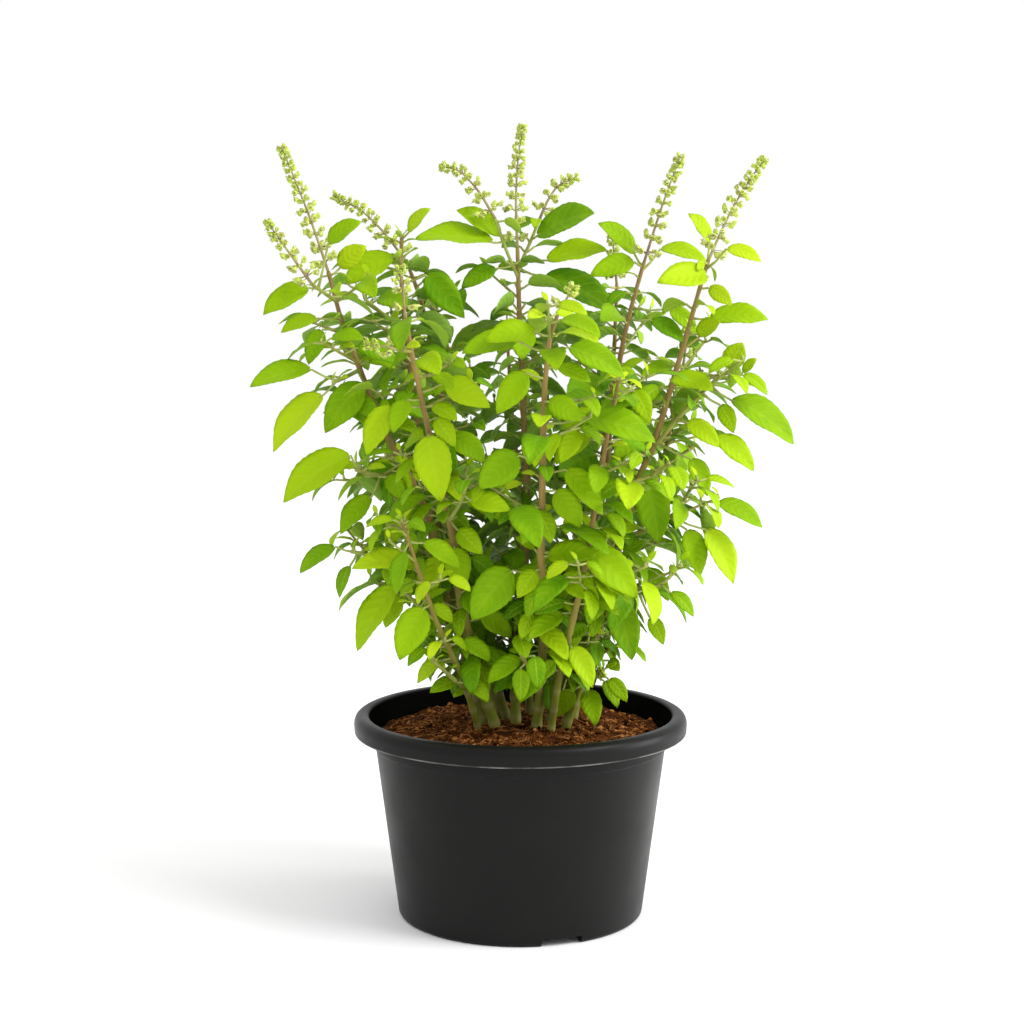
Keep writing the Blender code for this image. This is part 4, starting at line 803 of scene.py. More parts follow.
def grow_side_shoots(plant):
    """By rule: side shoots from the stems' leaf joints, where the crown still has room outside them."""
    draw = plant.draw
    for name in list(STEMS):
        axis = plant.axes[name]
        turn = draw.uniform(0, math.pi)
        s = axis.nearest(Vector((axis.line[0].x, axis.line[0].y, FIRST_NODE_Z + 6)))[1]
        count = 0
        while s < axis.length - 12:
            for half in (0, 1):
                azimuth = turn + math.pi * half
                point, _ = axis.point(s)
                flat = Vector((math.cos(azimuth), math.sin(azimuth), 0.0))
                if flat.dot(outward_at(point)) < 0.25 or (flat.y < -0.35 and point.y < 5):
                    continue
                room = reach_at(point.z + 12) - math.hypot(point.x, point.y)
                if room < SIDE_SHOOT_GAP:
                    continue
                reach = min(room - SHOOT_MARGIN, LONGEST_SHOOT) * draw.uniform(0.8, 1.0)
                rise = draw.uniform(*SHOOT_RISES)
                middle = point + flat * reach * 0.5 + Vector((0, 0, reach * 0.5 * math.tan(rise)))
                end = point + flat * reach + Vector((0, 0, reach * math.tan(rise) * 1.1))
                shoot = Axis(f"shoot_{name[5:]}_{count}", name, [point, middle, end], SHOOT_RADII, SHOOT_STEP)
                guard = tube_solid(shoot.line, tapered(SHOOT_GUARD_RADII, len(shoot.line)), SHOOT_SIDES)
                if plant.clear(guard, name):
                    plant.add_axis(shoot, SHOOT_SIDES)
                    count += 1
            turn += math.pi / 2 + draw.uniform(-0.3, 0.3)
            s += NODE_SPACING * 1.25


def leaf_sites(plant, spacing_share, turn_by):
    """(axis, arc length, azimuth) of each leaf joint: opposite pairs, each turned a quarter from the last."""
    draw = plant.draw
    sites = []
    for axis in plant.axes.values():
        main = axis.name in STEMS
        spacing = (NODE_SPACING if main else SHOOT_NODE_SPACING) * spacing_share
        turn = draw.uniform(0, math.pi) + turn_by
        s = axis.length - END_SINK
        while s > 3.0 and (not main or axis.point(s)[0].z > FIRST_NODE_Z):
            sites.append((axis, s, turn))
            turn += math.pi / 2 + draw.uniform(-0.2, 0.2)
            s -= spacing * draw.uniform(0.9, 1.1)
    return sites


def place_rule_leaves(plant, lengths, limit, spacing_share=1.0, turn_by=0.0):
    """Pairs of leaves by rule on every stem and side shoot, taken in a shuffled order, up to a limit."""
    draw = plant.draw
    sites = leaf_sites(plant, spacing_share, turn_by)
    draw.shuffle(sites)
    placed = 0
    for spread, (axis, s, turn) in [(spread, site) for spread in SITE_SPREADS for site in sites]:
        point, _ = axis.point(s)
        if any((leaf.base - point).length < spread for leaf in plant.leaves):
            continue
        high = min(max((point.z - 80) / 120, 0.0), 1.0)
        length = draw.uniform(*lengths) * (END_LEAF_SHARE if s > axis.length - 3 else 1.0)
        rise = draw.uniform(*LEAF_RISES) - LOW_LEAF_DROP * (1 - high)
        droop = draw.uniform(*LEAF_DROOPS)
        for half in (0, 1):
            for lower, swing in [(lower, swing) for lower in LEAF_LOWERINGS for swing in LEAF_SWINGS]:
                azimuth = turn + math.pi * half + swing
                leaf = rule_leaf(plant, axis, s, azimuth, length, rise - lower, droop)
                if not inside_crown(leaf.tip) or hides_seen_leaf(plant, leaf):
                    continue
                if plant.add_leaf(leaf):
                    placed += 1
                    break
            if placed >= limit:
                return


def grow_spikes(plant):
    """The spikes' axes. Each begins a small gap past the end of its stem."""
    for name, (stem, points) in plant.spikes.items():
        points = list(points)
        points[0] = points[0] + (points[1] - points[0]).normalized() * END_GAP
        axis = Axis(name, stem, points, SPIKE_R, SPIKE_STEP)
        plant.spikes[name] = axis
        guard_radii = tapered((SPIKE_GUARD_R, SPIKE_GUARD_R * 0.7), len(axis.line))
        verts, faces = tube_solid(axis.line, guard_radii, SPIKE_GUARD_SIDES)
        plant.taken.append((name, box_of(verts), tree_of(verts, faces)))


def grow_plant():
    """Every axis, spike and leaf of the plant, in one fixed order."""
    plant = Plant()
    grow_axes(plant)
    grow_spikes(plant)
    place_seen_leaves(plant)
    place_front_leaves(plant)
    grow_side_shoots(plant)
    place_rule_leaves(plant, LEAF_LENGTHS, LEAF_LIMIT)
    return plant


def new_object(name, verts, faces):
    """An object in metres from a shape in millimetres."""
    mesh = bpy.data.meshes.new(name)
    mesh.from_pydata([(x * MM, y * MM, z * MM) for x, y, z in verts], [], faces)
    obj = bpy.data.objects.new(name, mesh)
    bpy.context.scene.collection.objects.link(obj)
    return obj


def turned_solid(profile, sides):
    """Vertices and faces of a closed profile turned about the Z axis, closed where its radius is 0."""
    verts, faces, rings = [], [], []
    for r, z in profile:
        if r == 0:
            rings.append([len(verts)])
            verts.append((0.0, 0.0, z))
            continue
        rings.append([len(verts) + i for i in range(sides)])
        for i in range(sides):
            turn = 2 * math.pi * i / sides
            verts.append((r * math.cos(turn), r * math.sin(turn), z))
    for k in range(len(rings)):
        low, high = rings[k], rings[(k + 1) % len(rings)]
        if len(low) == 1 and len(high) == 1:
            continue
        for i in range(sides):
            j = (i + 1) % sides
            if len(low) == 1:
                faces.append((low[0], high[j], high[i]))
            elif len(high) == 1:
                faces.append((low[i], low[j], high[0]))
            else:
                faces.append((low[i], low[j], high[j], high[i]))
    return verts, faces


def box_solid(centre, turn, size):
    """Vertices and faces of a box: its length runs along the azimuth turn."""
    along = Vector((math.cos(turn), math.sin(turn), 0.0))
    side = Vector((-along.y, along.x, 0.0))
    verts = []
    for z in (-0.5, 0.5):
        for a, b in ((-0.5, -0.5), (0.5, -0.5), (0.5, 0.5), (-0.5, 0.5)):
            verts.append(centre + along * size[0] * a + side * size[1] * b + Vector((0, 0, size[2] * z)))
    faces = [(3, 2, 1, 0), (4, 5, 6, 7), (0, 1, 5, 4), (1, 2, 6, 5), (2, 3, 7, 6), (3, 0, 4, 7)]
    return verts, faces


def cut_out(target, solids):
    """Cuts all of these solids out of the target by one Boolean, and removes them."""
    group = bpy.data.collections.new(target.name + "_tools")
    bpy.context.scene.collection.children.link(group)
    for k, (verts, faces) in enumerate(solids):
        tool = new_object(f"{target.name}_tool_{k}", verts, faces)
        bpy.context.scene.collection.objects.unlink(tool)
        group.objects.link(tool)
        tool.hide_render = True
        tool.display_type = "WIRE"
    modifier = target.modifiers.new("cut", "BOOLEAN")
    modifier.operation = "DIFFERENCE"
    modifier.operand_type = "COLLECTION"
    modifier.collection = group
    modifier.solver = "MANIFOLD"
    bpy.context.view_layer.objects.active = target
    bpy.ops.object.modifier_apply(modifier=modifier.name)
    for tool in list(group.objects):
        bpy.data.objects.remove(tool)
    bpy.data.collections.remove(group)


def pot_profile():
    """The pot's section as (radius, height) corners: up the outside, over the rim and down the inside."""
    return [
        (POT_BASE_R - 0.8, 0.0),
        (POT_BASE_R, 0.9),
        (POT_NECK_R - POT_STEP - 0.3, POT_STEP_Z),
        (POT_NECK_R - 0.1, POT_STEP_Z + 0.4),
        (POT_NECK_R, POT_LIP_Z + 0.4),
        (POT_NECK_R + 0.6, POT_RIM_TOP_Z - 2.6),
        (POT_RIM_R - 2.4, POT_RIM_TOP_Z - 2.8),
        (POT_RIM_R - 1.7, POT_LIP_Z + 0.1),
        (POT_RIM_R - 0.6, POT_LIP_Z),
        (POT_RIM_R - 0.2, POT_LIP_Z + 0.5),
        (POT_RIM_R, POT_RIM_EDGE_Z),
        (POT_RIM_R - 0.6, POT_RIM_TOP_Z - 0.9),
        (POT_RIM_R - 1.9, POT_RIM_TOP_Z),
        (POT_MOUTH_R + 1.0, POT_RIM_TOP_Z),
        (POT_MOUTH_R, POT_RIM_TOP_Z - 0.8),
        (POT_NECK_R - POT_WALL, POT_LIP_Z - 0.6),
        (POT_BASE_R - 0.9, POT_FLOOR_Z + POT_WALL),
        (0, POT_FLOOR_Z + POT_WALL),
        (0, POT_FLOOR_Z),
        (POT_BASE_R - POT_FOOT_WALL, POT_FLOOR_Z),
        (POT_BASE_R - POT_FOOT_WALL + 0.2, 0.0),
    ]


def pot_cuts():
    """What is cut out of the pot: the notches through its foot, and the drain holes through its floor."""
    cuts = []
    for k in range(NOTCH_COUNT):
        turn = math.radians(NOTCH_FIRST_DEG + 360 * k / NOTCH_COUNT)
        centre = Vector((math.cos(turn), math.sin(turn), 0.0)) * (POT_BASE_R - 1.2)
        cuts.append(box_solid(centre, turn, (8.0, NOTCH_WIDTH, 2 * NOTCH_HEIGHT)))
    for k in range(DRAIN_COUNT):
        turn = 2 * math.pi * (k + 0.5) / DRAIN_COUNT
        x, y = DRAIN_RING_R * math.cos(turn), DRAIN_RING_R * math.sin(turn)
        line = [Vector((x, y, POT_FLOOR_Z - 1)), Vector((x, y, POT_FLOOR_Z + POT_WALL + 1))]
        cuts.append(tube_solid(line, (DRAIN_R, DRAIN_R), DRAIN_SIDES))
    return cuts


def inner_wall_r(z):
    """The radius of the pot's inner wall at a height."""
    low_r, low_z = POT_BASE_R - 0.9, POT_FLOOR_Z + POT_WALL
    high_r, high_z = POT_NECK_R - POT_WALL, POT_LIP_Z - 0.6
    return low_r + (high_r - low_r) * (z - low_z) / (high_z - low_z)


class Fine:
    """Collects one piece's corners, faces and material numbers, and its look: four numbers at each corner."""

    def __init__(self):
        self.verts, self.faces, self.slots, self.look = [], [], [], []

    def add(self, solid, slot, look):
        """Adds vertices and faces. look is one set of four numbers for all the corners, or a list of sets."""
        verts, faces = solid
        start = len(self.verts)
        self.verts += [tuple(v) for v in verts]
        self.faces += [tuple(start + i for i in face) for face in faces]
        self.slots += [slot] * len(faces)
        self.look += look if isinstance(look, list) else [look] * len(verts)

    def make(self, name, materials, node):
        """The piece as an object that stands for this CAD node."""
        obj = new_object(name, self.verts, self.faces)
        for material in materials:
            obj.data.materials.append(material)
        obj.data.polygons.foreach_set("material_index", self.slots)
        obj.data.polygons.foreach_set("use_smooth", [True] * len(self.faces))
        layer = obj.data.color_attributes.new("look", "FLOAT_COLOR", "POINT")
        layer.data.foreach_set("color", [value for four in self.look for value in four])
        obj.data.update()
        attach(obj, "root")
        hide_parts(node)


def blade_corners(leaf, shares, teeth, tint, draw):
    """Corners of a blade's upper skin and then its under skin, two rows a tooth, and the look of each."""
    long = (leaf.tip - leaf.base).length
    phase = draw.uniform(0, 6.28)
    wave = draw.uniform(*BLADE_WAVE) * min(1.0, long / 20)
    curl = draw.uniform(*BLADE_CURL)
    taper = draw.uniform(*BLADE_TAPER)
    tops, unders, look_top, look_under = [], [], [], []
    for k in range(2 * teeth):
        v = (k + 0.35) / (2 * teeth) * 0.985
        point, along = leaf.spot(v)
        side, upper = leaf.frame(along)
        half = leaf.half_width(v) * (1 - taper * max(0.0, v - 0.6) - 0.5 * max(0.0, 0.2 - v))
        saw = TOOTH_DEPTH * half * (v * teeth % 1.0 - 0.5) * min(1.0, 5 * v, 6 * (1 - v))
        for a in shares:
            reach = (half + (saw if abs(a) > 0.9 else 0.0)) * a
            lift = FOLD * half * abs(a) ** 1.25
            lift += wave * math.sin(v * 12 + phase + (1.6 if a > 0 else 0.0)) * a * a
            lift -= curl * 0.5 * max(0.0, v - 0.7) * abs(a) ** 2
            lift -= GROOVE_DEPTH * (1 - min(1.0, abs(a) / GROOVE_SHARE)) if long > GROOVED_LENGTH else 0.0
            spot = point + side * reach + upper * lift
            skin = FINE_THICK / 2 * (1 - a * a) + EDGE_THICK
            tops.append(spot + upper * skin)
            unders.append(spot - upper * skin)
            look_top.append((abs(a), v, tint, 0.0))
            look_under.append((abs(a), v, tint, 1.0))
    return tops + unders, look_top + look_under


def blade_faces(rows, across):
    """Faces of a thin closed blade: its skins, edges and ends, and the fans to its tip, the last corner."""
    count = rows * across
    tip = 2 * count
    starts = [k * across + i for k in range(rows - 1) for i in range(across - 1)]
    faces = [(a, a + across, a + across + 1, a + 1) for a in starts]
    faces += [tuple(count + i for i in reversed(face)) for face in faces]
    for k in range(rows - 1):
        left, right = k * across, (k + 1) * across - 1
        faces.append((left, left + count, left + across + count, left + across))
        faces.append((right + across, right + across + count, right + count, right))
    last = count - across
    faces += [(i, i + 1, i + 1 + count, i + count) for i in range(across - 1)]
    faces += [(last + i + 1, last + i, last + i + count, last + i + 1 + count) for i in range(across - 1)]
    faces += [(last + i, tip, last + i + 1) for i in range(across - 1)]
    faces += [(count + last + i + 1, tip, count + last + i) for i in range(across - 1)]
    return faces


def add_fine_leaf(fine, leaf, draw, tint):
    """A leaf with a toothed margin, a grooved midrib and a soft wave, a thin closed blade on its stalk."""
    long = (leaf.tip - leaf.base).length
    teeth = max(3, round(long / TOOTH_MM))
    shares = next(shares for least, shares in BLADE_SHARES if long > least)
    verts, look = blade_corners(leaf, shares, teeth, tint, draw)
    fine.add((verts + [leaf.tip], blade_faces(2 * teeth, len(shares))), 0, look + [(0.0, 1.0, tint, 0.0)])
    stalk = [leaf.root.lerp(leaf.base, t) for t in (0.0, 0.5, 1.0)] + [leaf.spot(0.07)[0]]
    stalk[1] = stalk[1] + Vector((0.0, 0.0, -STALK_SAG * (leaf.base - leaf.root).length))
    fine.add(tube_solid(stalk, STALK_RADII, STALK_SIDES), 1, (0.0, 0.0, tint, 0.5))


def leaf_tone_and_painted_light(leaf, draw):
    """How yellow and bright a leaf is, 0 to 1: painted light on the leaves outside, at the front and at the
    top, painted shade within, with each leaf's own tone by chance and youth.
    """
    middle = leaf.spot(0.5)[0]
    outside = math.hypot(middle.x, middle.y) / max(reach_at(middle.z), 30.0)
    front = (70.0 - middle.y) / 140.0
    high = (middle.z - 70.0) / 150.0
    value = 0.0
    # Painted light and shade: lighter outside, at the front and high up, darker within the crown
    for share, place in zip(PAINTED_LIGHT_SHARES, (min(outside, 1.0), front, high)):
        value += share * place
    value += draw.uniform(*TINT_CHANCE)
    # Painted light: the listed seen leaves are made a little lighter
    if leaf.seen_in_photo:
        value += SEEN_LEAF_PAINTED_LIGHT
    if (leaf.tip - leaf.base).length < YOUNG_LENGTHS[1]:
        value += TINT_YOUNG
    return min(max(value, 0.0), 1.0)


def relaxed(line):
    """The line with its corners eased, its ends kept."""
    for _ in range(3):
        line = [line[0]] + [(a + 2 * b + c) / 4 for a, b, c in zip(line, line[1:], line[2:])] + [line[-1]]
    return line


def nearness(point, places, reach):
    """1 at the nearest of these places, falling to 0 at this reach from it."""
    return max(0.0, 1 - min([(point - place).length for place in places] + [99.0]) / reach)


def add_fine_axis(fine, axis, joints, tint):
    """A stem or shoot with a slight swelling at each joint, and leaf scars round a stem's leafless joints."""
    main = axis.name == axis.stem
    sides = FINE_STEM_SIDES if main else FINE_SHOOT_SIDES
    count = max(3, round(axis.length / (FINE_STEM_STEP if main else FINE_SHOOT_STEP)))
    line = relaxed([axis.point(axis.length * k / count)[0] for k in range(count + 1)])
    scars = [axis.point(s)[0] for s in LOW_NODES] if main else []
    radii, look = [], []
    for point, radius in zip(line, tapered(axis.radii, count + 1)):
        radii.append(BARK_SHARE * radius * (1.0 + SWELLING * nearness(point, scars + joints, SWELLING_REACH)))
        look += [(0.0 if main else 1.0, nearness(point, scars, SCAR_REACH), tint, 0.0)] * sides
    fine.add(tube_solid(line, radii, sides), 1, look)


def make_leafy_stem(plant, number, stem, materials):
    """One stem with its side shoots and leaves, finer than its solid, in the same place."""
    draw = random.Random(SEED * 100 + number)
    fine = Fine()
    leaves = [leaf for leaf in plant.leaves if leaf.axis.stem == stem]
    for axis in plant.axes.values():
        if axis.stem == stem:
            joints = [leaf.root for leaf in leaves if leaf.axis is axis]
            add_fine_axis(fine, axis, joints, draw.uniform(0, 1))
    for leaf in leaves:
        add_fine_leaf(fine, leaf, draw, leaf_tone_and_painted_light(leaf, draw))
    fine.make(f"basil_stem_{number:02d}", materials, f"leafy_stem_{number:02d}")


def add_floret(fine, base, out, size, draw, share):
    """One floret: a ribbed cup that opens outwards, with an upper lip and sometimes a pale petal."""
    side = out.cross(Vector((0.0, 0.0, 1.0)))
    side = side.normalized() if side.length > 0.05 else Vector((1.0, 0.0, 0.0))
    over = side.cross(out).normalized()
    purple = draw.uniform(0.0, 1.0)
    verts, faces, look = [], [], []
    for k, (along, wide) in enumerate(CUP):
        for i in range(FLORET_SIDES):
            turn = 2 * math.pi * i / FLORET_SIDES
            lip = 0.24 if k in CUP_LIP and math.sin(turn) > 0.3 else 0.0
            verts.append(base + out * size * (along + lip)
                         + (side * math.cos(turn) + over * math.sin(turn)) * size * wide)
            look.append((along, share, purple, 1.0 if k > CUP_LIP[0] else 0.0))
    last = (len(CUP) - 1) * FLORET_SIDES
    for start in range(0, last, FLORET_SIDES):
        for i in range(FLORET_SIDES):
            a, b = start + i, start + (i + 1) % FLORET_SIDES
            faces.append((b, a, a + FLORET_SIDES, b + FLORET_SIDES))
    faces.append(tuple(reversed(range(last, last + FLORET_SIDES))))
    fine.add((verts, faces), 0, look)
    if draw.random() < PETAL_CHANCE:
        way = (out + over * draw.uniform(-0.3, 0.4)).normalized()
        solid = petal_solid(base + out * size * 0.7, way, side, over, size, draw.uniform(0.75, 1.1))
        fine.add(solid, 1, (0.0, share, draw.random(), 0.0))


def petal_solid(root, way, side, over, size, length):
    """Vertices and faces of a petal: a thin plate of five corners."""
    half, thin = side * (size * 0.30), over * 0.06 * size
    tip = root + way * size * length
    mid = root.lerp(tip, 0.55) + over * 0.12 * size
    outline = [root - half * 0.4, root + half * 0.4, mid + half, tip, mid - half]
    verts = [v + thin for v in outline] + [v - thin for v in outline]
    faces = [(0, 1, 2, 3, 4), (9, 8, 7, 6, 5)]
    faces += [(i, 5 + i, 5 + (i + 1) % 5, (i + 1) % 5) for i in range(5)]
    return verts, faces


def around_axis(along, turn):
    """The direction square to an axis at this turn about it."""
    side = along.cross(WHORL_REFERENCE).normalized()
    return side * math.cos(turn) + along.cross(side) * math.sin(turn)


def add_whorl(fine, axis, s, turn, draw):
    """A whorl of florets on thin stalks, in two facing groups, some with a thread hanging out."""
    share = s / axis.length
    point, along = axis.point(s)
    for i in range(WHORL_FLORETS):
        azimuth = turn + math.pi * (i % 2) + (i // 2 - 1.5) * 0.6 + draw.uniform(-0.2, 0.2)
        out = (around_axis(along, azimuth) + along * (draw.uniform(0.0, 0.5) + 0.6 * share)).normalized()
        reach = (FLORET_REACH - REACH_SHRINK * share) * draw.uniform(0.4, 1.15)
        start = point + along * draw.uniform(-0.5, 0.5)
        base = start + out * reach
        fine.add(tube_solid([start, base + out * 0.25], FLORET_STALK_RADII, 4), 2, (0.0, 0.5, 0.5, 0.0))
        droop = (out + Vector((0, 0, draw.uniform(-0.7, 0.1)))).normalized()
        size = (FLORET_SIZE - FLORET_SHRINK * share) * draw.uniform(0.8, 1.15)
        add_floret(fine, base, droop, size, draw, share)
        if draw.random() < THREAD_CHANCE:
            end = base + (droop + out).normalized() * draw.uniform(*THREAD_LENGTHS) * (1.1 - 0.5 * share)
            thread = [base, base.lerp(end, 0.5) + Vector((0, 0, 0.15)), end]
            fine.add(tube_solid(thread, THREAD_RADII, 3), 1, (0.0, share, 0.8, 0.0))


def make_spike(name, axis, materials):
    """One flower spike: a thin stalk with separate whorls of florets, closer and smaller towards its tip."""
    draw = random.Random(name)
    fine = Fine()
    count = max(4, round(axis.length / SPIKE_STALK_STEP))
    line = relaxed([axis.point(axis.length * k / count)[0] for k in range(count + 1)])
    line[0] = line[0] - axis.point(0.0)[1] * (END_GAP + 0.1)
    stalk = tube_solid(line, tapered(SPIKE_STALK_RADII, count + 1), SPIKE_STALK_SIDES)
    fine.add(stalk, 2, (0.0, 0.5, 0.5, 0.0))
    s, turn = FIRST_WHORL, 0.4
    while s < axis.length - 0.3:
        add_whorl(fine, axis, s, turn, draw)
        turn += math.pi / 2
        s += WHORL_GAP - WHORL_CLOSING * (s / axis.length)
    point, along = axis.point(axis.length)
    for k in range(TIP_FLORETS):
        out = (around_axis(along, 2 * math.pi * k / TIP_FLORETS) + along * 1.6).normalized()
        add_floret(fine, point - along * 0.5, out, TIP_FLORET_SIZE, draw, 1.0)
    fine.make(name.replace("spike", "flowers"), materials, name)


def grow_twigs(plant):
    """Short twigs between the shoots, for small leaves only, where the crown is still open."""
    draw = plant.draw
    for carrier in list(plant.axes.values()):
        s = draw.uniform(6.0, 12.0)
        while s < carrier.length - 3.0:
            point, _ = carrier.point(s)
            azimuth = draw.uniform(0, 2 * math.pi)
            length = draw.uniform(*TWIG_LENGTHS)
            rise = length * draw.uniform(0.2, 0.8)
            end = point + Vector((length * math.cos(azimuth), length * math.sin(azimuth), rise))
            guard = tube_solid([point.lerp(end, 0.15), end], TWIG_GUARD_RADII, SHOOT_SIDES)
            if point.z > FIRST_NODE_Z and inside_crown(end, -5.0) and plant.clear(guard, carrier.name):
                name = f"twig_{len(plant.axes)}"
                plant.add_axis(Axis(name, carrier.stem, [point, end], TWIG_RADII, SHOOT_STEP), SHOOT_SIDES)
            s += TWIG_SPACING * draw.uniform(0.8, 1.2)


def place_young_leaves(plant):
    """Small young leaves: a tuft on each end that has no spike, and pairs in the joints."""
    draw = plant.draw
    no_tuft = {spike.stem for spike in plant.spikes.values()} | {BARE_SHOOT}
    for axis in list(plant.axes.values()):
        turn = draw.uniform(0, math.pi)
        if axis.name not in no_tuft:
            pairs = YOUNG_TUFT[:1] if axis.name.startswith("twig") else YOUNG_TUFT
            for k, (back, rise) in enumerate(pairs):
                for half in (0, 1):
                    length = draw.uniform(*YOUNG_LENGTHS) * (0.6 + 0.2 * k)
                    azimuth = turn + math.pi * half
                    plant.add_leaf(rule_leaf(plant, axis, axis.length - back, azimuth, length, rise, 0.6))
                turn += math.pi / 2
        s = axis.length - draw.uniform(5.0, 9.0)
        while s > 5.0 and axis.point(s)[0].z > FIRST_NODE_Z:
            for half in (0, 1):
                length = draw.uniform(*YOUNG_LENGTHS)
                azimuth = turn + math.pi * half + draw.uniform(-0.4, 0.4)
                plant.add_leaf(rule_leaf(plant, axis, s, azimuth, length, draw.uniform(0.5, 1.0), 0.7))
            turn += math.pi / 2
            s -= YOUNG_SPACING * draw.uniform(0.8, 1.2)


def soil_height(x, y):
    """The soil's surface: a low crown with small clods."""
    height = SOIL_EDGE_Z + SOIL_RISE * (1 - (math.hypot(x, y) / SOIL_CROWN_R) ** 2) - 0.2
    for size, scale, seed in CLODS:
        height += size * noise.noise(Vector((x * scale, y * scale, seed)))
    return height


def soil_body(edge_r):
    """Vertices and faces of the soil: its underside, its side, and its surface in rings to the middle."""
    low = POT_FLOOR_Z + POT_WALL + SOIL_GAP
    rings = [(inner_wall_r(low) - SOIL_GAP, low), (edge_r, SOIL_EDGE_Z - 0.8)]
    rings += [(edge_r * (1 - k / SOIL_FINE_RINGS), None) for k in range(1, SOIL_FINE_RINGS)]
    verts = []
    for r, z in rings:
        for i in range(SOIL_FINE_SIDES):
            turn = 2 * math.pi * i / SOIL_FINE_SIDES
            x, y = r * math.cos(turn), r * math.sin(turn)
            verts.append((x, y, soil_height(x, y) if z is None else z))
    return verts, ring_faces(len(rings), SOIL_FINE_SIDES)


def add_crumbs(fine, edge_r, draw):
    """Rough crumbs of all sizes, half sunk in the soil."""
    ball = bmesh.new()
    bmesh.ops.create_icosphere(ball, subdivisions=1, radius=1.0)
    corners_of_ball = [vert.co.copy() for vert in ball.verts]
    faces = [tuple(vert.index for vert in face.verts) for face in ball.faces]
    ball.free()
    for _ in range(CRUMBS):
        r = (edge_r - 1.4) * math.sqrt(draw.random())
        turn = draw.uniform(0, 2 * math.pi)
        x, y = r * math.cos(turn), r * math.sin(turn)
        size = draw.choice(CRUMB_SIZES) * draw.uniform(0.7, 1.2)
        stretch = Vector((draw.uniform(0.7, 1.5), draw.uniform(0.6, 1.1), draw.uniform(0.5, 0.9)))
        spin = draw.uniform(0, 6.28)
        centre = Vector((x, y, soil_height(x, y) + size * 0.25))
        verts = []
        for v in corners_of_ball:
            rough = 1.0 + draw.uniform(-0.28, 0.28)
            p = v * stretch * size * rough
            verts.append(centre + Vector((p.x * math.cos(spin) - p.y * math.sin(spin),
                                          p.x * math.sin(spin) + p.y * math.cos(spin), p.z)))
        fine.add((verts, faces), 0, (draw.random(), 1.0, 0.0, 0.0))


def add_fibres(fine, edge_r, draw):
    """Thin coir fibres that lie on the soil in loose bends."""
    for _ in range(FIBRES):
        r = (edge_r - 4.0) * math.sqrt(draw.random())
        turn = draw.uniform(0, 2 * math.pi)
        start, line = Vector((r * math.cos(turn), r * math.sin(turn), 0)), []
        heading = draw.uniform(0, 6.28)
        length = draw.uniform(*FIBRE_LENGTHS)
        for k in range(5):
            step = Vector((math.cos(heading), math.sin(heading), 0)) * length / 4
            start = start + step * (k > 0)
            heading += draw.uniform(-0.5, 0.5)
            if start.xy.length > edge_r - 0.8:
                break
            height = soil_height(start.x, start.y) + 0.12 + 0.35 * math.sin(k * 0.8)
            line.append(Vector((start.x, start.y, height)))
        if len(line) > 2:
            fibre = tube_solid(line, [FIBRE_R] * len(line), 3)
            fine.add(fibre, 0, (draw.uniform(0.5, 1.0), 2.0, 0.0, 0.0))


def make_soil(material):
    """The potting mix: a clodded surface, crumbs half sunk in it and thin coir fibres lying on it."""
    draw = random.Random(SEED * 11)
    fine = Fine()
    edge_r = inner_wall_r(SOIL_EDGE_Z) - SOIL_GAP
    fine.add(soil_body(edge_r), 0, (0.35, 0.0, 0.0, 0.0))
    add_crumbs(fine, edge_r, draw)
    add_fibres(fine, edge_r, draw)
    fine.make("coco_peat", [material], "soil")


def rounded(profile, radius, steps):
    """The profile with each corner eased over this radius, corners on the axis kept."""
    out = []
    for k, (r, z) in enumerate(profile):
        here = Vector((r, z))
        before, after = Vector(profile[k - 1]), Vector(profile[(k + 1) % len(profile)])
        reach = min(radius, 0.42 * (before - here).length, 0.42 * (after - here).length)
        if r == 0 or reach < 0.02:
            out.append((r, z))
            continue
        a = here + (before - here).normalized() * reach
        b = here + (after - here).normalized() * reach
        for i in range(steps + 1):
            t = i / steps
            spot = a * (1 - t) ** 2 + here * 2 * t * (1 - t) + b * t * t
            out.append((spot.x, spot.y))
    return out


def make_pot(material):
    """The pot, turned finely, with its foot notches and drain holes cut through."""
    verts, faces = turned_solid(rounded(pot_profile(), POT_EASING, POT_EASING_STEPS), POT_FINE_STEPS)
    pot = new_object("nursery_pot", verts, faces)
    pot.data.materials.append(material)
    cut_out(pot, pot_cuts())
    pot.data.polygons.foreach_set("use_smooth", [True] * len(pot.data.polygons))
    pot.data.set_sharp_from_angle(angle=math.radians(40))
    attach(pot, "root")
    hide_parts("pot")


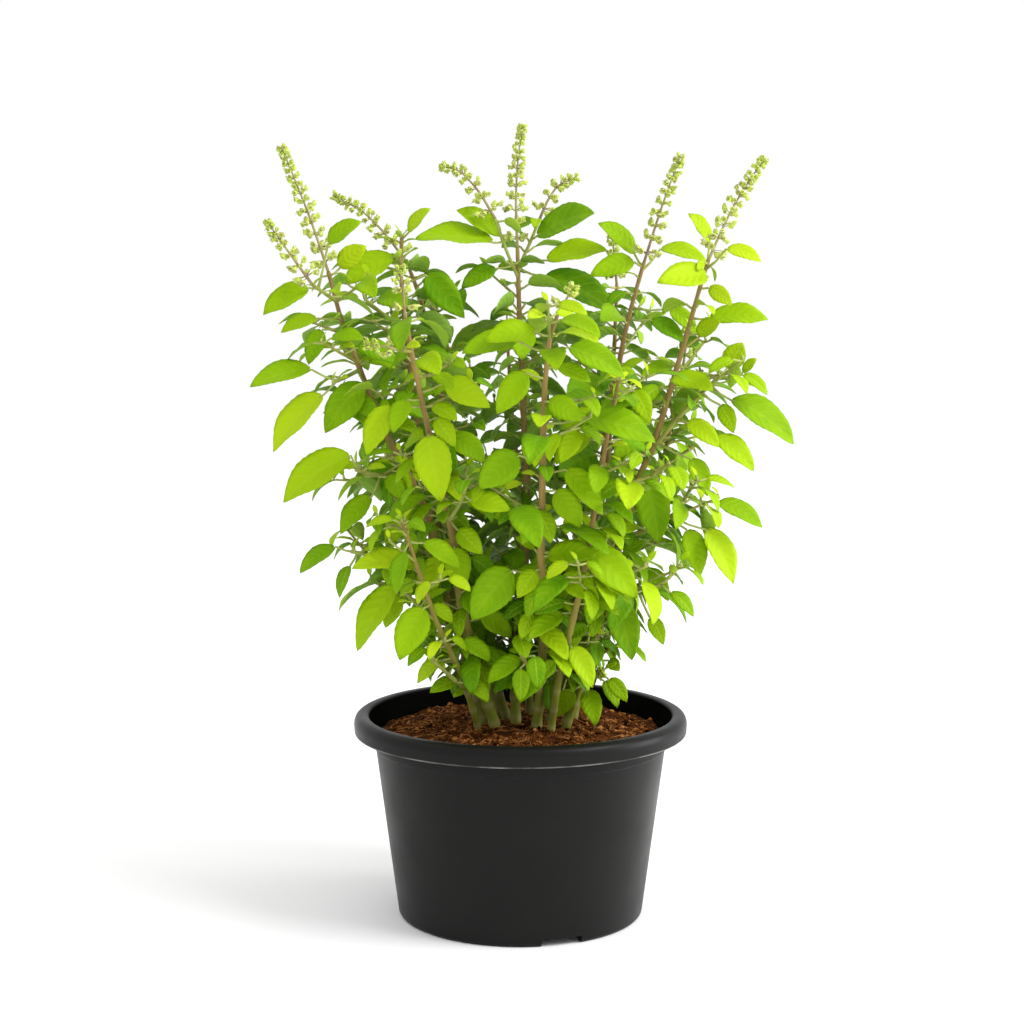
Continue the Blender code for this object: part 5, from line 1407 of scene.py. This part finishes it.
class Shader:
    """Builds a material's node tree with short calls. A colour is three numbers."""

    def __init__(self, name, roughness, specular):
        self.material = bpy.data.materials.new(name)
        self.material.use_nodes = True
        self.tree = self.material.node_tree
        self.surface = self.tree.nodes["Principled BSDF"]
        self.surface.inputs["Roughness"].default_value = roughness
        self.surface.inputs["Specular IOR Level"].default_value = specular

    def node(self, kind, **settings):
        node = self.tree.nodes.new(kind)
        for key, value in settings.items():
            setattr(node, key, value)
        return node

    def wire(self, value, socket):
        """Links a node's output to a socket, or sets the socket to a number or a colour."""
        if isinstance(value, tuple):
            socket.default_value = (*value, 1.0)
        elif isinstance(value, (int, float)):
            socket.default_value = value
        else:
            self.tree.links.new(value, socket)

    def math(self, operation, *values):
        node = self.node("ShaderNodeMath", operation=operation)
        for value, socket in zip(values, node.inputs):
            self.wire(value, socket)
        return node.outputs[0]

    def add(self, a, b):
        return self.math("ADD", a, b)

    def times(self, a, b):
        return self.math("MULTIPLY", a, b)

    def step(self, value, low, high, out_low=0.0, out_high=1.0):
        """A soft step from one number to another as the value goes from low to high."""
        node = self.node("ShaderNodeMapRange", interpolation_type="SMOOTHSTEP")
        for given, socket in zip((value, low, high, out_low, out_high), node.inputs):
            self.wire(given, socket)
        return node.outputs[0]

    def mix(self, share, a, b):
        """Colour a, with this share of it replaced by colour b."""
        node = self.node("ShaderNodeMix", data_type="RGBA")
        self.wire(share, node.inputs[0])
        self.wire(a, node.inputs[6])
        self.wire(b, node.inputs[7])
        return node.outputs[2]

    def ramp(self, value, stops):
        """The colour that these stops, (place, colour), give for a value."""
        node = self.node("ShaderNodeValToRGB")
        elements = node.color_ramp.elements
        while len(elements) < len(stops):
            elements.new(0.5)
        for element, (place, color) in zip(elements, stops):
            element.position, element.color = place, (*color, 1.0)
        self.wire(value, node.inputs[0])
        return node.outputs[0]

    def noise(self, scale, detail=3.0, stretch=(1.0, 1.0, 1.0)):
        mapping = self.node("ShaderNodeMapping")
        mapping.inputs["Scale"].default_value = stretch
        self.tree.links.new(self.node("ShaderNodeTexCoord").outputs["Object"], mapping.inputs[0])
        node = self.node("ShaderNodeTexNoise")
        node.inputs["Scale"].default_value = scale
        node.inputs["Detail"].default_value = detail
        self.tree.links.new(mapping.outputs[0], node.inputs["Vector"])
        return node.outputs[0]

    def place(self):
        """Where a point lies in the object's own frame: three numbers in metres."""
        split = self.node("ShaderNodeSeparateXYZ")
        self.tree.links.new(self.node("ShaderNodeTexCoord").outputs["Object"], split.inputs[0])
        return split.outputs

    def look(self):
        """The four numbers that the piece's corners carry."""
        node = self.node("ShaderNodeAttribute", attribute_name="look")
        split = self.node("ShaderNodeSeparateColor")
        self.tree.links.new(node.outputs["Color"], split.inputs[0])
        return (*split.outputs, node.outputs["Alpha"])

    def finish(self, color, height=None, strength=0.4, distance=0.0003):
        """Sets the surface's colour and, where a height is given, its bump, with a distance in metres."""
        self.wire(color, self.surface.inputs["Base Color"])
        if height is not None:
            bump = self.node("ShaderNodeBump")
            bump.inputs["Strength"].default_value = strength
            bump.inputs["Distance"].default_value = distance
            self.tree.links.new(height, bump.inputs["Height"])
            self.tree.links.new(bump.outputs[0], self.surface.inputs["Normal"])
        return self.material


def leaf_material():
    """Greens by the leaf's tint, which carries painted light and shade as well as the leaf's own tone, with
    softer patches, a pale underside, a midrib and slanting side veins.
    """
    shader = Shader("leaf", 0.55, 0.1)
    out, along, tint, under = shader.look()
    reach = shader.math("SUBTRACT", shader.times(along, 6.5), shader.times(out, 1.6))
    between = shader.math("ABSOLUTE", shader.math("SUBTRACT", shader.math("FRACT", reach), 0.5))
    fade = shader.step(out, 0.72, 1.0, 1.0, 0.0)
    side_vein = shader.times(shader.step(between, 0.03, 0.10, 1.0, 0.0), fade)
    midrib = shader.step(out, 0.04, 0.13, 1.0, 0.0)
    vein = shader.math("MAXIMUM", shader.times(side_vein, 0.4), midrib)
    # The tint picks the green: painted shade at the dark end, painted light at the bright end, with each
    # leaf's own tone mixed in
    green = shader.ramp(tint, LEAF_GREENS)
    patch = shader.step(shader.noise(160.0, 4.0), 0.3, 0.75)
    green = shader.mix(shader.times(patch, 0.25), green, LEAF_PATCH)
    color = shader.mix(under, green, shader.mix(0.4, green, LEAF_UNDERSIDE))
    color = shader.mix(shader.times(vein, 0.28), color, LEAF_VEIN)
    puff = shader.times(shader.step(between, 0.0, 0.5), 0.7)
    return shader.finish(color, shader.add(puff, shader.times(vein, -0.7)), 0.42, 0.00025)


def stem_material():
    """Bark that turns from olive at the soil to tan above, green shoots and leaf stalks, pale scars."""
    shader = Shader("stem", 0.6, 0.15)
    out, scar, tint, stalk = shader.look()
    _, _, z = shader.place()
    streak = shader.noise(300.0, 4.0, (1.0, 1.0, 0.12))
    color = shader.mix(out, shader.ramp(z, BARK), shader.mix(tint, *YOUNG_BARKS))
    color = shader.mix(shader.times(scar, 0.7), color, BARK_SCAR)
    color = shader.mix(shader.times(stalk, 1.6), color, LEAF_STALK)
    color = shader.mix(shader.times(shader.step(streak, 0.35, 0.7), 0.4), color, BARK_STREAK)
    return shader.finish(color, streak, 0.35, 0.0002)


def floret_material():
    """Pale green cups, some tinged with brown towards the mouth, darker inside."""
    shader = Shader("floret", 0.6, 0.3)
    along, share, purple, inside = shader.look()
    tinge = shader.times(shader.step(purple, 0.35, 0.9), shader.step(along, 0.2, 1.0))
    color = shader.mix(shader.times(tinge, 0.5), shader.mix(share, *FLORET_GREENS), FLORET_TINGE)
    return shader.finish(shader.mix(shader.times(inside, 0.5), color, FLORET_INSIDE))


def petal_material():
    shader = Shader("petal", 0.6, 0.3)
    _, _, tint, _ = shader.look()
    return shader.finish(shader.mix(tint, *PETALS))


def stalk_material():
    shader = Shader("spike_stalk", 0.55, 0.3)
    return shader.finish(shader.ramp(shader.noise(120.0), SPIKE_STALK))


def soil_material():
    """Reddish browns by each crumb's own tone and by fine spots."""
    shader = Shader("coco_peat", 0.95, 0.05)
    tone, _, _, _ = shader.look()
    spots = shader.noise(220.0, 4.0)
    color = shader.ramp(shader.add(shader.times(tone, 0.5), shader.times(spots, 0.5)), SOIL_BROWNS)
    return shader.finish(color, shader.add(shader.noise(900.0, 6.0), shader.times(spots, 1.2)), 0.9, 0.0009)


def pot_material():
    """Near-black plastic, matt inside the mouth, with a painted highlight: a pale broken line along the rim's
    lower edge.
    """
    shader = Shader("pot_plastic", 0.42, 0.13)
    rough = shader.step(shader.noise(60.0, 5.0), 0.2, 0.8, 0.34, 0.46)
    shader.wire(rough, shader.surface.inputs["Roughness"])
    x, y, z = shader.place()
    radius = shader.math("SQRT", shader.add(shader.times(x, x), shader.times(y, y)))
    below = shader.step(z, (SOIL_EDGE_Z - 1.5) * MM, (SOIL_EDGE_Z - 0.5) * MM, 1.0, 0.0)
    outer = shader.step(radius, (POT_MOUTH_R + 0.1) * MM, (POT_MOUTH_R + 1.2) * MM)
    shine = shader.times(shader.math("MAXIMUM", below, outer), 0.15)
    shader.wire(shine, shader.surface.inputs["Specular IOR Level"])
    # A painted highlight: a pale broken line along the rim's lower edge, mixed into the colour
    highlight_edge = shader.times(shader.step(z, (POT_LIP_Z + 0.3) * MM, (POT_LIP_Z + 0.7) * MM, 1.0, 0.0),
                            shader.step(radius, (POT_RIM_R - 1.6) * MM, (POT_RIM_R - 1.0) * MM))
    painted_highlight = shader.times(highlight_edge, shader.step(shader.noise(90.0, 3.0), 0.38, 0.6, 0.15, 0.9))
    color = shader.mix(painted_highlight, shader.ramp(shader.noise(22.0, 3.0), POT_BLACKS), POT_PAINTED_HIGHLIGHT)
    return shader.finish(color, shader.noise(1600.0, 4.0), 0.18, 0.0001)


def add_light(name, place, aim, power, size):
    """A round soft light at a place, turned to an aim, in metres."""
    data = bpy.data.lights.new(name, "AREA")
    data.energy, data.shape, data.size = power, "DISK", size
    light = bpy.data.objects.new(name, data)
    light.location = place
    light.rotation_euler = (Vector(aim) - Vector(place)).to_track_quat("-Z", "Y").to_euler()
    bpy.context.scene.collection.objects.link(light)


def make_stage():
    """The pale floor, the soft lights and the camera where the photograph was taken from."""
    scene = bpy.context.scene
    scene.view_settings.view_transform = "Standard"
    square = [(-FLOOR, -FLOOR, 0), (FLOOR, -FLOOR, 0), (FLOOR, FLOOR, 0), (-FLOOR, FLOOR, 0)]
    floor = new_object("floor", square, [(0, 1, 2, 3)])
    floor.data.materials.append(Shader("floor", 0.9, 0.1).finish(WHITE))
    scene.world = bpy.data.worlds.new("studio")
    scene.world.use_nodes = True
    background = scene.world.node_tree.nodes["Background"]
    background.inputs["Color"].default_value = (*WHITE, 1.0)
    background.inputs["Strength"].default_value = WORLD_LIGHT
    for light in LIGHTS:
        add_light(*light)
    camera = bpy.data.cameras.new("camera")
    camera.sensor_width = CAMERA_SENSOR
    camera.lens = CAMERA_LENS
    camera.clip_start = 0.01
    holder = bpy.data.objects.new("camera", camera)
    holder.location = viewpoint() * MM
    holder.rotation_euler = (math.pi / 2 - CAMERA_PITCH, 0.0, 0.0)
    scene.collection.objects.link(holder)
    scene.camera = holder


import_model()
plant = grow_plant()
plant.clearance, plant.hiding_reach = SMALL_CLEARANCE, SMALL_HIDING_REACH
grow_twigs(plant)
for lengths, limit, spacing_share in SMALL_LEAVES:
    place_rule_leaves(plant, lengths, limit, spacing_share, SMALL_TURN)
place_young_leaves(plant)
plant_materials = [leaf_material(), stem_material()]
for number, stem in enumerate(STEMS):
    make_leafy_stem(plant, number + 1, stem, plant_materials)
spike_materials = [floret_material(), petal_material(), stalk_material()]
for name, axis in plant.spikes.items():
    make_spike(name, axis, spike_materials)
make_soil(soil_material())
make_pot(pot_material())
make_stage()
